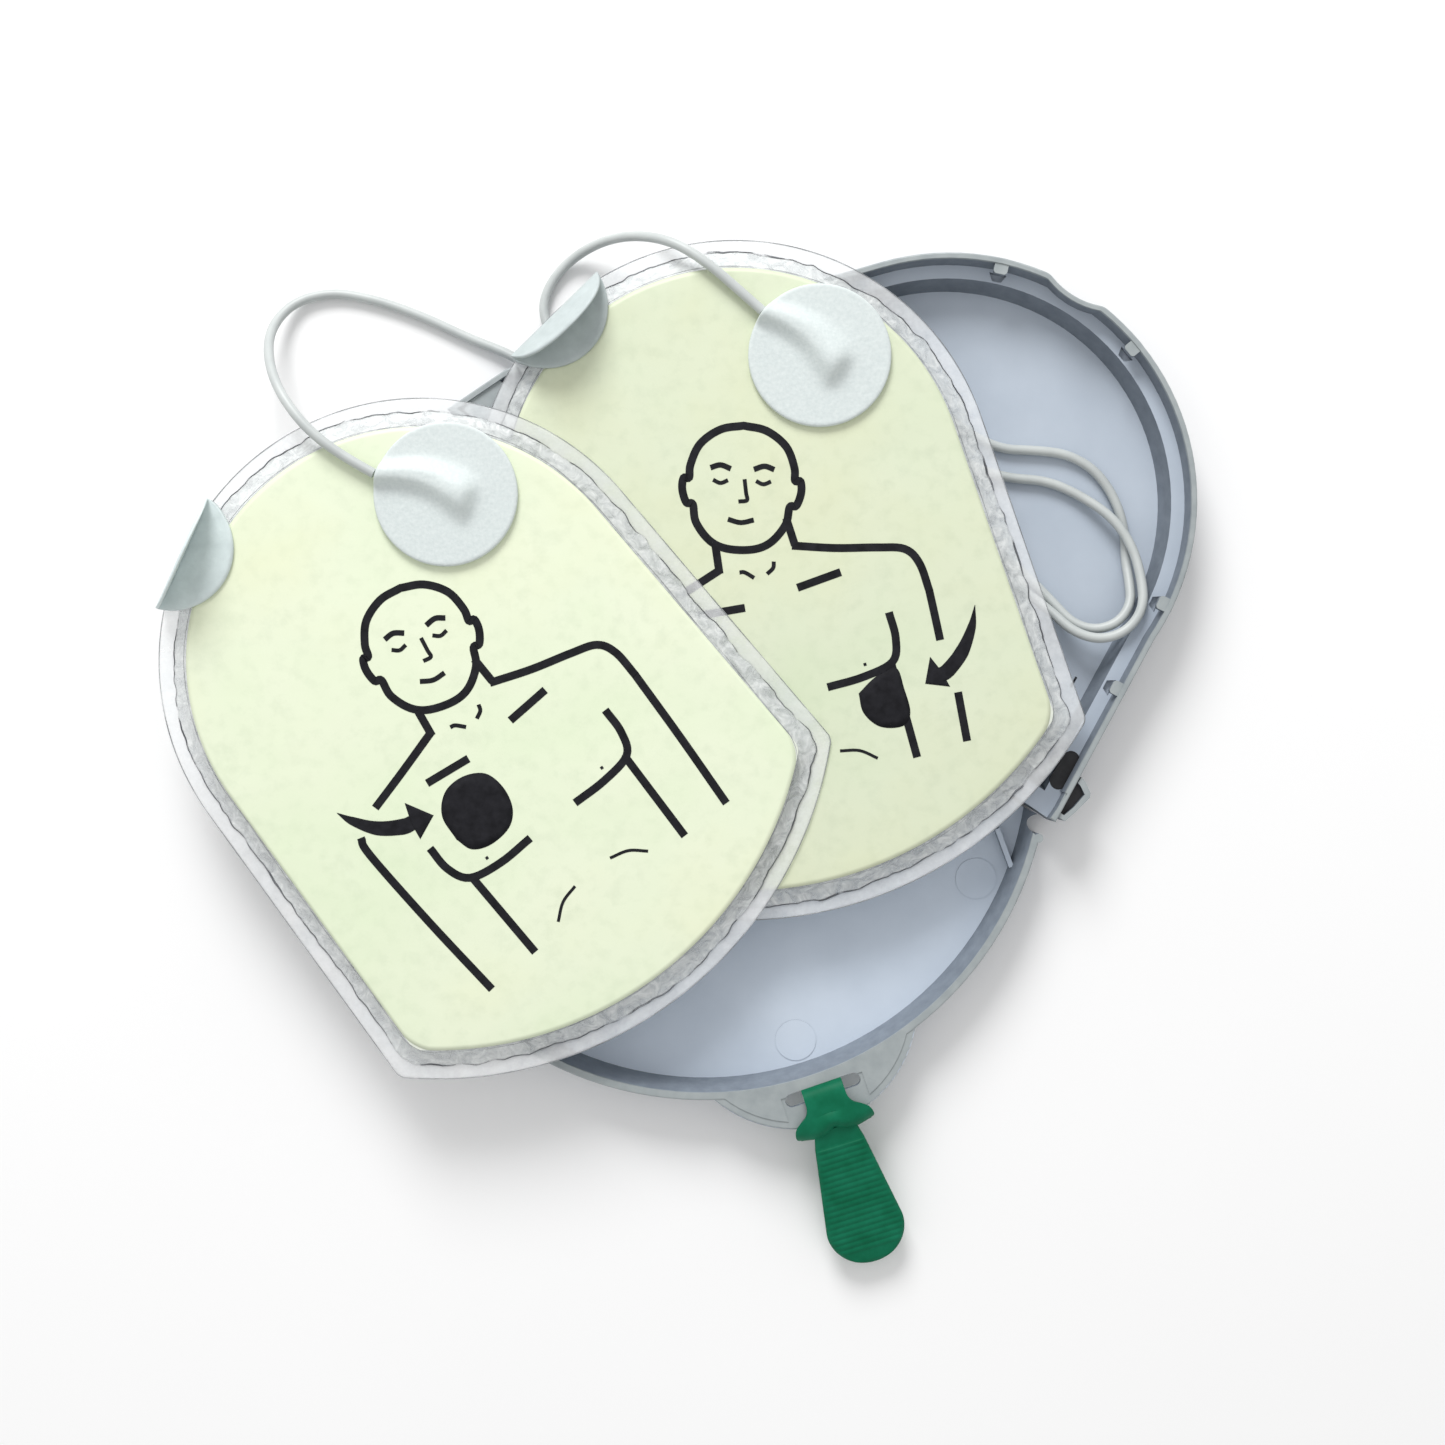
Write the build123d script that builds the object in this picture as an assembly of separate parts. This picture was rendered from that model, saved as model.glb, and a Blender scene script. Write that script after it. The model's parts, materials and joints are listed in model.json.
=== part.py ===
from build123d import *
import math
import os

# Opened electrode-pad cartridge: two moulded shells on a table, two printed gel pads lying
# across them, their leads in the tray, and a pull tab on the cover.  Millimetres, +Z up,
# origin on the table under the middle of the whole object.

STANDING = (Align.CENTER, Align.CENTER, Align.MIN)

# ---- shells -------------------------------------------------------------------------
SEAM_X, SEAM_Y = 13.95, 28.79      # middle of the line where the two shells meet
SEAM_TURN = -34.16               # its direction; P runs along it and Q towards the tray
FLOOR = 1.6
TRAY_HIGH = 12.0
COVER_HIGH = 9.6
LEDGE_Z = 7.5
WALL = 1.0
WALL_DRAFT = 6.0
LEDGE_IN = 4.8                   # from the outer face to the inner edge of the ledge
POCKET_IN = 5.7                  # from the outer face to the floor's edge
POCKET_DRAFT = 13.5
POCKET_RISE = 0.3                # the pocket's cut runs this far above the ledge
EDGE = 0.35                      # rounding of the rims
SEAM_GAP = 0.6
LOBE = (20.4, 41.7)
LOBE_R = 50.0
SEAM_RIGHT, SEAM_LEFT = 74.6, -73.8
CORNER = (-68.5, 13.3)
SCALLOP_R, SCALLOP_DEEP, SCALLOP_ANGLE, SCALLOP_SHOULDER = 16.0, 1.7, 92.9, 3.5
GATE_WIDE = 16.5                 # opening where both leads leave the tray
GATE_AT = 10.75
SNAP_ANGLES = (111.6, 73.8, 8.4)
LOBE_LEFT_ANGLE = 140.1
SNAP_DEEP = 1.2
SNAP_SIDE = (71.7, 29.5)         # the fourth snap, on the straight side
BRACKET = ((73.3, 10.6), (74.9, 10.2), (77.2, 8.8), (77.6, 7.9), (76.9, 4.2), (76.1, 1.2), (73.6, 1.2))
BRACKET_EYE = ((73.3, 9.2), (74.7, 8.9), (76.4, 7.9), (76.0, 4.5), (75.3, 2.1), (73.6, 2.1))
INSERT_AT, INSERT_TURN, INSERT_SIZE = (70.9, 10.0), 94, (8.6, 3.6)
NICK_AT, NICK_SIZE = (63.1, 26.6), (0.5, 2.4)    # fine cut in the ledge beside the side snap
SIDE_SNAP_FACES = 5.8
COVER_MID = (8.2, -28.6)
COVER_R = 70.2
COVER_POCKET_IN, COVER_DRAFT = 3.2, 12.0
BITE_AT, BITE_R = (73.0, -1.9), 2.4      # round bite in the cover's corner beside the tray's eye
TIP_AT, TIP_R = (74.0, -4.5), 0.9        # round end that the bite leaves on the cover's wall
RIB_AT, RIB_TURN, RIB_SIZE = (70.2, -9.9), -35.6, (8.4, 1.0, 2.2)
MARKS = ((69.2, -18.4), (57.1, -67.0))   # round moulding marks on the cover's floor
MARK_R, MARK_HIGH = 4.2, 0.15

# ---- ear and pull tab ---------------------------------------------------------------
EAR_MID = (62.5, -68.45)
EAR_TURN = -36.9                 # outward direction of the ear in the P, Q frame
EAR_R = 25.0
EAR_SAGITTA = 12.0
EAR_LOW, EAR_TOP = 7.9, 9.4
EAR_STEP, EAR_RIM = 0.2, 1.6      # the ear's middle stands this much above its rim, this far in
SLOT_LONG, SLOT_WIDE, SLOT_OUT = 16.0, 2.8, 4.9
TAB_TURN = -73.0                 # direction of the pull tab in the object's frame
TAB_X, TAB_Y, TAB_Z = 32.3, -78.62, 8.6
TAB_DROOP = 11.0
TAB_THICK = 2.0
TAB_LONG = 26.72

# ---- pads ---------------------------------------------------------------------------
FILM_R = 52.5
FILM_DOWN = 62.8                 # from the round top's centre to the lower corners
FILM_HALF = 55.0
FILM_SAG = 22.0
FILM_CORNER, PANEL_CORNER = 0.8, 3.0
INSET_BACK, INSET_GEL, INSET_FOIL = 6.2, 8.2, 9.2
THICK_FILM, THICK_GEL, THICK_FOIL, THICK_FOAM, THICK_PRINT = 0.4, 0.9, 0.3, 1.2, 0.2
PAD_THICK = THICK_FILM + THICK_GEL + THICK_FOIL + THICK_FOAM + THICK_PRINT
DISC_AT = (24.5, 22.5)
DISC_R = 14.3
DISC_THICK = 1.2
LEAD_ANGLE = 126.0               # direction in which the lead leaves the disc
LEAF_AT_R, LEAF_HALF, LEAF_SAG, LEAF_THICK = 51.1, 12.0, 9.6, 0.8
LEAF_TURN = 117.6
LEAF_LIFT_A, LEAF_LIFT_B = 74.0, 57.0
LEAF_GAP = 0.15
PADS = {
    "pad_a": (-51.75, 19.39, 38.15, TRAY_HIGH + PAD_THICK, LEAF_LIFT_A),
    "pad_b": (10.95, 51.69, 16.86, TRAY_HIGH, LEAF_LIFT_B),
}

# ---- leads --------------------------------------------------------------------------
LEAD_D = 2.0
COIL_IN, COIL_OUT, COIL_HIGH = 10.3, 14.7, 6.3
COIL_A, COIL_B = (49.59, 31.8), (16.45, 64.39)
TAIL_Z = 6.75
TAIL_A, TAIL_B = (15.3, 16.0), (-5.42, 26.0)   # P, Q where each lead leaves its coil
BLOCK = (-9.0, 17.0, 6.3, 11.5, 10.5)     # P from, P to, Q from, Q to, top
CONTACTS_P = (-3.0, 1.0, 5.0, 9.0)

LEAD_A = [
    (-60.45, 56.21, 19.5), (-67.75, 60.19, 19.5), (-74.55, 65.79, 19.7), (-80.15, 73.39, 17.4),
    (-83.55, 81.39, 11.2), (-84.15, 88.59, 4.6), (-80.15, 94.19, 1.35), (-72.55, 96.19, 1.05),
    (-64.15, 94.79, 1.05), (-54.15, 91.39, 1.05), (-44.15, 86.59, 1.05), (-35.95, 83.39, 1.65),
    (-29.55, 79.39, 2.95), (-23.55, 73.99, 2.85), (-13.35, 71.39, 2.7), (-1.95, 75.19, 2.7),
    (10.05, 79.89, 2.7), (21.65, 83.19, 2.7), (32.65, 81.39, 2.7), (42.25, 75.39, 2.7),
    (50.05, 67.39, 2.7), (58.05, 60.39, 2.7), (67.05, 57.39, 2.7), (75.2, 57.0, 2.7),
    (82.3, 53.8, 3.0), (88.6, 49.1, 4.9), (92.6, 43.0, 5.4), (94.04, 35.87, 7.4),
    (94.04, 30.13, 8.9), (90.67, 25.48, 9.0), (85.2, 23.7, 9.0), (79.73, 25.48, 8.2),
    (75.6, 29.8, 6.2), (70.2, 34.2, 4.0), (64.8, 38.4, 2.8), (59.6, 41.6, 2.7),
    (54.6, 43.7, 2.7), (49.59, 44.3, 2.7),
]
LEAD_B = [
    (16.45, 88.99, 16.5), (11.25, 93.59, 16.5), (5.65, 98.39, 16.7), (-0.75, 102.79, 15.7),
    (-7.95, 105.39, 11.6), (-14.95, 105.99, 6.0), (-21.35, 103.99, 1.85), (-26.15, 99.79, 1.05),
    (-28.95, 93.99, 1.15), (-27.75, 88.19, 1.75), (-23.75, 82.79, 2.95), (-19.75, 77.19, 2.85),
    (-12.75, 75.79, 2.7), (-2.45, 79.69, 2.7), (9.05, 83.19, 2.7), (20.25, 86.19, 2.7),
    (30.65, 85.99, 2.7), (40.45, 81.79, 2.7), (49.25, 74.99, 2.7), (57.65, 67.59, 2.7),
    (65.45, 63.39, 2.7), (72.6, 63.2, 2.7), (79.2, 62.5, 2.7), (84.6, 59.7, 2.7),
    (88.2, 55.4, 2.7), (90.5, 50.4, 2.7), (91.5, 45.4, 2.7), (91.6, 40.2, 2.9),
    (92.02, 36.01, 4.6), (92.02, 31.19, 6.4), (89.18, 27.29, 7.3), (84.6, 25.8, 7.0),
    (80.02, 27.29, 6.0), (76.4, 31.6, 4.4), (72.0, 36.4, 3.0), (67.0, 41.0, 2.7),
    (60.5, 45.6, 2.7), (52.0, 49.0, 2.7), (43.0, 50.4, 2.7), (34.0, 50.9, 2.7),
    (25.0, 51.7, 2.7), (16.45, 51.89, 2.7),
]


def on_seam(shape):
    """Put a shape that was drawn along the seam into the object's frame."""
    return Pos(SEAM_X, SEAM_Y, 0) * Rot(0, 0, SEAM_TURN) * shape


def seam_point(p, q, z=0.0):
    """A point given along the seam, in the object's frame."""
    turn = math.radians(SEAM_TURN)
    x = SEAM_X + p * math.cos(turn) - q * math.sin(turn)
    y = SEAM_Y + p * math.sin(turn) + q * math.cos(turn)
    return (x, y, z)


def prism(sketch, low, high):
    return Pos(0, 0, low) * extrude(sketch, amount=high - low, dir=(0, 0, 1))


def round_edges(shape, edges, radius):
    """Round the edges where the kernel can, and leave them sharp where it cannot."""
    try:
        return fillet(edges, radius)
    except Exception:
        return shape


# ---- tray ---------------------------------------------------------------------------
def tray_sketch():
    """Outline of the tray: a round lobe, a straight right side and a long slanted left one."""
    right = lobe_point(0, LOBE_R)
    top = lobe_point(90, LOBE_R)
    left = lobe_point(LOBE_LEFT_ANGLE, LOBE_R)
    outline = Line((SEAM_RIGHT, 0), right)
    outline += ThreePointArc(right, top, left)
    outline += Line(left, CORNER)
    outline += Line(CORNER, (SEAM_LEFT, 0))
    outline += Line((SEAM_LEFT, 0), (SEAM_RIGHT, 0))
    return make_face(outline)


def lobe_point(angle, radius):
    turn = math.radians(angle)
    return (LOBE[0] + radius * math.cos(turn), LOBE[1] + radius * math.sin(turn))


def scalloped(outline, wall):
    """The outline with its finger scallop, whose shoulders are rounded, this far in from it."""
    centre = lobe_point(SCALLOP_ANGLE, LOBE_R + SCALLOP_R - SCALLOP_DEEP)
    cut = outline - Pos(*centre) * Circle(SCALLOP_R + wall)
    shoulders = cut.vertices().sort_by_distance(Vector(*lobe_point(SCALLOP_ANGLE, LOBE_R)))[0:2]
    return fillet(shoulders, SCALLOP_SHOULDER - wall)


def snap_places():
    """Each snap's spot on the rim's outer face and the direction that it faces."""
    spots = [(lobe_point(angle, LOBE_R), angle) for angle in SNAP_ANGLES]
    spots.append((SNAP_SIDE, SIDE_SNAP_FACES))
    return spots


def snap_lug(outline):
    """The lugs under the rim that the closed cover snaps behind."""
    lugs = Part()
    for (x, y), angle in snap_places():
        lug = Pos(x, y) * Rot(0, 0, angle) * Pos(-WALL - 0.6, 0) * RectangleRounded(3.2, 2.8, 0.7)
        lugs += prism(lug & outline, TRAY_HIGH - 2.0, TRAY_HIGH - 0.25)
    return lugs


def snap_windows():
    """The shallow windows in the ledge under the lugs."""
    windows = Part()
    for (x, y), angle in snap_places():
        shape = Polygon((-2.3, -1.8), (-3.9, -0.9), (-3.9, 0.9), (-2.3, 1.8), align=None)
        windows += Pos(x, y) * Rot(0, 0, angle) * prism(shape, LEDGE_Z - SNAP_DEEP, TRAY_HIGH - 3)
    return windows


def gate_cutter():
    """A straight-sided cut through the slanted wall, wide enough for both leads."""
    left = lobe_point(LOBE_LEFT_ANGLE, LOBE_R)
    lean = math.degrees(math.atan2(left[1] - CORNER[1], left[0] - CORNER[0]))
    cut = Box(GATE_WIDE, 2 * POCKET_IN + 4, 20, align=STANDING)
    cut = Pos(GATE_AT, -POCKET_IN / 2, FLOOR) * cut
    return Pos(CORNER[0], CORNER[1], 0) * Rot(0, 0, lean) * cut


def make_tray():
    plain = tray_sketch()
    outline = scalloped(plain, 0)
    shell = prism(outline, 0, TRAY_HIGH)
    shell = round_edges(shell, shell.faces().sort_by(Axis.Z)[-1].edges(), EDGE)
    shell = round_edges(shell, shell.faces().sort_by(Axis.Z)[0].edges(), EDGE)
    high = TRAY_HIGH - LEDGE_Z + 1
    recess = offset(plain, -WALL - high * math.tan(math.radians(WALL_DRAFT)), kind=Kind.INTERSECTION)
    recess = Pos(0, 0, LEDGE_Z) * extrude(recess, amount=high, taper=-WALL_DRAFT)
    inner = scalloped(offset(plain, -WALL, kind=Kind.INTERSECTION), WALL)
    shell -= recess & prism(inner, LEDGE_Z, TRAY_HIGH + 1)
    shell -= prism(Pos(50, 0) * Rectangle(2 * (SEAM_RIGHT - WALL - 50.3), 12), LEDGE_Z, TRAY_HIGH + 1)
    floor = offset(plain, -POCKET_IN, kind=Kind.INTERSECTION)
    shell -= Pos(0, 0, FLOOR) * extrude(floor, amount=LEDGE_Z - FLOOR + POCKET_RISE, taper=-POCKET_DRAFT)
    shell += snap_lug(outline)
    shell -= snap_windows()
    shell += prism(Pos(-66.5, 6.2) * Rectangle(9.0, 9.0) & plain, 0, TRAY_HIGH - 0.6)
    shell -= gate_cutter()
    shell += loop_bracket()
    shell -= insert_pocket(0.0)
    shell -= Pos(*NICK_AT, 0) * Rot(0, 0, 4) * Box(*NICK_SIZE, 20)
    return shell


def loop_bracket():
    """A closed eye on the tray's right corner, which the cover's hook stands against."""
    outside = Pos(SEAM_RIGHT + 3.8, 6) * Rectangle(9.0, 30)
    wall = Polygon((SEAM_RIGHT, 0), (SEAM_RIGHT - WALL, 0), (72.3, 12), (73.3, 12), align=None)
    ring = Polygon(*BRACKET, align=None) - Polygon(*BRACKET_EYE, align=None)
    return prism(ring & (outside + wall), 2.4, TRAY_HIGH - 0.6) + prism(wall, FLOOR, TRAY_HIGH - EDGE)


def insert_pocket(play):
    """The half-round seat of the rubber insert, in the ledge beside the corner."""
    long, wide = INSERT_SIZE
    seat = Pos(*INSERT_AT) * SlotOverall(long - 2 * play, wide - 2 * play, rotation=INSERT_TURN)
    return prism(seat, LEDGE_Z - 3.2 + play, LEDGE_Z + 1)


def make_insert():
    return insert_pocket(0.05) & Pos(*INSERT_AT, LEDGE_Z - 1.7) * Box(12, 12, 3.1)


def make_loop_plug():
    tray_side = Polygon((60, -5), (75.3, -5), (73.55, 12), (60, 12), align=None)
    plug = Polygon(*BRACKET_EYE, align=None) - tray_side
    return prism(offset(plug, -0.05, kind=Kind.INTERSECTION), 2.6, TRAY_HIGH - 1.8)


# ---- cover --------------------------------------------------------------------------
def cover_sketch(inset):
    """The cover's outline: a large disc cut off along the seam."""
    disc = Pos(*COVER_MID) * Circle(COVER_R - inset)
    half = Pos(0, -100 - SEAM_GAP - inset) * Rectangle(300, 200)
    return disc & half


def ear_location():
    return Pos(*EAR_MID) * Rot(0, 0, EAR_TURN)


def make_ear():
    """A flat ear with a slot, standing out from the cover at rim height, its rim a little lower."""
    centre = EAR_SAGITTA - EAR_R
    plate = Pos(centre, 0) * Circle(EAR_R) & Pos(12, 0) * Rectangle(28, 60)
    slot = Pos(SLOT_OUT, 0) * SlotOverall(SLOT_LONG, SLOT_WIDE, rotation=90)
    flange = prism(plate, EAR_LOW, EAR_TOP)
    flange = round_edges(flange, flange.edges(), EDGE)
    bead = prism(plate & (Pos(centre, 0) * Circle(EAR_R - EAR_RIM)), EAR_LOW, EAR_TOP + EAR_STEP)
    bead -= Pos(SLOT_OUT + 5, 0) * Box(12, 17.4, 40)
    return ear_location() * (flange + bead - prism(slot, 0, 20))


def make_cover():
    shell = prism(cover_sketch(0), 0, COVER_HIGH)
    shell = round_edges(shell, shell.edges().group_by(Axis.Z)[-1], EDGE)
    shell = round_edges(shell, shell.edges().group_by(Axis.Z)[0], EDGE)
    shell += make_ear()
    floor = Pos(*COVER_MID) * Circle(COVER_R - COVER_POCKET_IN)
    floor = Pos(0, 0, FLOOR) * extrude(floor, amount=COVER_HIGH, taper=-COVER_DRAFT)
    shell -= floor
    shell -= Pos(*BITE_AT, 0) * Cylinder(BITE_R, 60)
    shell += Pos(*TIP_AT, 0) * Cylinder(TIP_R, COVER_HIGH, align=STANDING)
    rib = Box(*RIB_SIZE, align=STANDING)
    rib = Pos(*RIB_AT, FLOOR) * Rot(0, 0, RIB_TURN) * rib
    shell += rib & prism(cover_sketch(0.5), 0, COVER_HIGH)
    for x, y in MARKS:
        mark = Pos(x, y, FLOOR) * Cylinder(MARK_R, MARK_HIGH, align=STANDING)
        shell += mark & prism(cover_sketch(1.0), 0, COVER_HIGH)
    return shell


# ---- pull tab -----------------------------------------------------------------------
def on_tab(shape):
    """Place a shape drawn from the tab's pivot, with X along the blade."""
    return Pos(TAB_X, TAB_Y, TAB_Z) * Rot(0, 0, TAB_TURN) * shape


def make_tab_loop():
    """The hitch: a flared strap over the ear's bar, down through its slot and back under it."""
    gap = 0.15
    inner, shoulder, front_x = SLOT_OUT - 0.7, 10.0, EAR_SAGITTA + 1.6
    strap = Polygon((inner, -4.3), (shoulder, -7.9), (front_x, -5.4),
                    (front_x, 5.4), (shoulder, 7.9), (inner, 4.3), align=None)
    over = prism(strap, EAR_TOP + gap, EAR_TOP + 1.35)
    under = prism(strap & Pos(8.5, 0) * Rectangle(10.2, 8.6), EAR_LOW - 1.35, EAR_LOW - gap)
    leg = prism(Pos(SLOT_OUT, 0) * Rectangle(1.4, 8.6), EAR_LOW - 1.35, EAR_TOP + 1.35)
    front = prism(Pos(front_x - 0.6, 0) * Rectangle(1.2, 8.6), EAR_LOW - 1.35, EAR_TOP + 1.35)
    return ear_location() * (over + under + leg + front)


def make_tab_blade():
    """A long blade that widens to a round end, hanging from its pivot."""
    neck, wide, start = 5.2, 8.1, 0.0
    swell = TAB_LONG - wide
    outline = Line((start, -neck), (start, neck))
    outline += Line((start, neck), (swell, wide))
    outline += ThreePointArc((swell, wide), (TAB_LONG, 0), (swell, -wide))
    outline += Line((swell, -wide), (start, -neck))
    blade = Pos(0, 0, -TAB_THICK / 2) * extrude(make_face(outline), amount=TAB_THICK)
    blade = round_edges(blade, blade.edges(), 0.4)
    knuckle = Pos(start, 0, 0) * Rot(90, 0, 0) * Cylinder(1.1, 2 * neck)
    return on_tab(Rot(0, TAB_DROOP, 0) * (blade + knuckle))


# ---- pads ---------------------------------------------------------------------------
def pad_sketch(inset):
    """A pad's outline: round top, nearly straight sides and a shallow round foot."""
    reach = math.hypot(FILM_HALF, FILM_DOWN)
    meet = math.acos(FILM_R / reach) - math.atan2(FILM_DOWN, FILM_HALF)
    side = (FILM_R * math.cos(meet), FILM_R * math.sin(meet))
    other = (-side[0], side[1])
    right, left = (FILM_HALF, -FILM_DOWN), (-FILM_HALF, -FILM_DOWN)
    outline = ThreePointArc(side, (0, FILM_R), other)
    outline += Line(other, left)
    outline += ThreePointArc(left, (0, -FILM_DOWN - FILM_SAG), right)
    outline += Line(right, side)
    face = make_face(outline)
    if inset:
        face = offset(face, -inset, kind=Kind.INTERSECTION)
    corners = face.vertices().sort_by(Axis.Y)[0:2]
    return fillet(corners, PANEL_CORNER if inset else FILM_CORNER)


def on_pad(name, shape):
    x, y, turn = PADS[name][0:3]
    return Pos(x, y, 0) * Rot(0, 0, turn) * shape


def leaf_sketch():
    """A flap: the part of a small disc on the inner side of its fold line."""
    radius = (LEAF_HALF ** 2 + LEAF_SAG ** 2) / (2 * LEAF_SAG)
    disc = Pos(radius - LEAF_SAG, 0) * Circle(radius)
    return disc & Pos(-20, 0) * Rectangle(40, 40)


def leaf_place(z):
    turn = math.radians(LEAF_TURN)
    spot = Pos(LEAF_AT_R * math.cos(turn), LEAF_AT_R * math.sin(turn), z)
    return spot * Rot(0, 0, LEAF_TURN)


def make_disc(z):
    """The foam cover over the snap: a disc with a raised lead channel and a centre bump."""
    disc = Pos(0, 0, z) * Cylinder(DISC_R, DISC_THICK, align=STANDING)
    disc = round_edges(disc, disc.edges().group_by(Axis.Z)[-1], 0.4)
    ridge_z = z + 1.5
    ridge = Pos(DISC_R / 2, 0, ridge_z) * Rot(0, 90, 0) * Cylinder(1.5, DISC_R)
    disc += ridge & Pos(0, 0, z) * Cylinder(DISC_R, 9, align=STANDING)
    bump = Pos(0, 0, z) * Cylinder(3.4, 2.5, align=STANDING)
    disc += round_edges(bump, bump.edges().group_by(Axis.Z)[-1], 1.0)
    hollow = Pos(0, 0, z) * Cylinder(2.4, 1.7, align=STANDING)
    return disc - hollow


def make_rivet(z):
    """Snap rivet: a flat head on the foam with its stem down to the foil."""
    head = Pos(0, 0, z) * Cylinder(2.3, 0.5, align=STANDING)
    stem = Pos(0, 0, z) * Cylinder(1.0, 1.6, align=STANDING)
    return head + stem


def make_terminal(z):
    """Ring terminal that the rivet holds down."""
    ring = Pos(0, 0, z + 0.5) * Cylinder(2.3, 0.5, align=STANDING)
    return ring - Pos(0, 0, z) * Cylinder(1.05, 9)


def make_pad(name):
    """All the layers of one pad, from the release film up to the disc over its snap."""
    base, lift = PADS[name][3:5]
    parts = {}
    z = base
    layers = (("release_film", 0.0, THICK_FILM), ("hydrogel", INSET_GEL, THICK_GEL),
              ("electrode_foil", INSET_FOIL, THICK_FOIL), ("foam_backing", INSET_BACK, THICK_FOAM),
              ("printed_face", INSET_BACK, THICK_PRINT))
    for layer, inset, thick in layers:
        parts[layer] = prism(pad_sketch(inset), z, z + thick)
        z += thick
    place = Pos(DISC_AT[0], DISC_AT[1], 0) * Rot(0, 0, LEAD_ANGLE)
    parts["lead_disc"] = place * make_disc(z)
    parts["snap_rivet"] = place * make_rivet(z)
    parts["ring_terminal"] = place * make_terminal(z)
    base_leaf = leaf_place(0) * prism(leaf_sketch(), base + THICK_FILM, z + LEAF_THICK)
    parts["peel_base"] = base_leaf - prism(pad_sketch(INSET_BACK - 0.1), 0, z)
    leaf = extrude(leaf_sketch(), amount=LEAF_THICK)
    top = z + LEAF_THICK + LEAF_GAP
    parts["peel_leaf"] = leaf_place(top) * Rot(0, lift, 0) * leaf
    return {f"{name}_{key}": on_pad(name, shape) for key, shape in parts.items()}


# ---- leads --------------------------------------------------------------------------
def make_tube(name, points):
    """A lead as straight runs joined by arcs as large as the runs allow."""
    spots = [Vector(*point) for point in points]
    radii = []
    for before, here, after in zip(spots, spots[1:], spots[2:]):
        first, second = here - before, after - here
        half = math.radians(first.get_angle(second)) / 2
        radii.append(0.45 * min(first.length, second.length) / math.tan(half))
    path = FilletPolyline(*spots, radius=radii)
    start = Plane(origin=spots[0], z_dir=spots[1] - spots[0])
    tube = sweep(start * Circle(LEAD_D / 2), path=path)
    full = path.length * math.pi * LEAD_D ** 2 / 4
    print(name, "length", round(path.length, 1), "volume ratio", round(tube.volume / full, 4))
    print("  smallest radii", [round(radius, 1) for radius in sorted(radii)[:4]])
    return tube


def make_coil(centre):
    ring = Pos(centre[0], centre[1], 0) * (Circle(COIL_OUT) - Circle(COIL_IN))
    return prism(ring, FLOOR + 0.05, FLOOR + 0.05 + COIL_HIGH)


def straight_lead(start, end):
    begin, finish = Vector(*start), Vector(*end)
    place = Plane(origin=begin, z_dir=finish - begin)
    return place * Cylinder(LEAD_D / 2, (finish - begin).length, align=STANDING)


def make_block():
    """Terminal block on the tray's floor, in which both leads end."""
    p_from, p_to, q_from, q_to, top = BLOCK
    face = Rectangle(p_to - p_from, q_to - q_from)
    body = prism(Pos((p_from + p_to) / 2, (q_from + q_to) / 2) * face, FLOOR, top)
    body = round_edges(body, body.edges().group_by(Axis.Z)[-1], 0.5)
    for p in CONTACTS_P:
        body -= contact_at(p)
    return on_seam(body)


def contact_at(p):
    return Pos(p, BLOCK[2] + 0.9, BLOCK[4] - 1.5) * Box(2.2, 1.8, 5.0)


def make_contacts():
    """Four spring contacts along the block's front face, each a solid of its own."""
    blades = [contact_at(p) & Pos(0, BLOCK[2] + 1.35, 0) * Box(200, 0.9, 60) for p in CONTACTS_P]
    return on_seam(Compound([blade.solids()[0] for blade in blades]))


def build():
    parts = {
        "tray": on_seam(make_tray()),
        "hinge_insert": on_seam(make_insert()),
        "loop_plug": on_seam(make_loop_plug()),
        "cover": on_seam(make_cover()),
        "tab_loop": on_seam(make_tab_loop()),
        "tab_blade": make_tab_blade(),
        "terminal_block": make_block(),
        "spring_contacts": make_contacts(),
    }
    for name in PADS:
        parts.update(make_pad(name))
    leads = (("lead_a", LEAD_A, COIL_A, TAIL_A), ("lead_b", LEAD_B, COIL_B, TAIL_B))
    for name, points, centre, (tail_p, tail_q) in leads:
        space = Pos(centre[0], centre[1], 0) * Cylinder(COIL_OUT, 60)
        parts[name] = make_tube(name, points) - space
        parts[f"{name}_coil"] = make_coil(centre)
        tail_end = seam_point(tail_p, BLOCK[3], TAIL_Z)
        parts[f"{name}_tail"] = straight_lead(seam_point(tail_p, tail_q, TAIL_Z), tail_end) - space
    return parts


os.makedirs("parts", exist_ok=True)
for node, shape in build().items():
    export_step(shape, f"parts/{node}.step")
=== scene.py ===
import json
import math

import bmesh
import bpy
from mathutils import Matrix, Vector, noise


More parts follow.
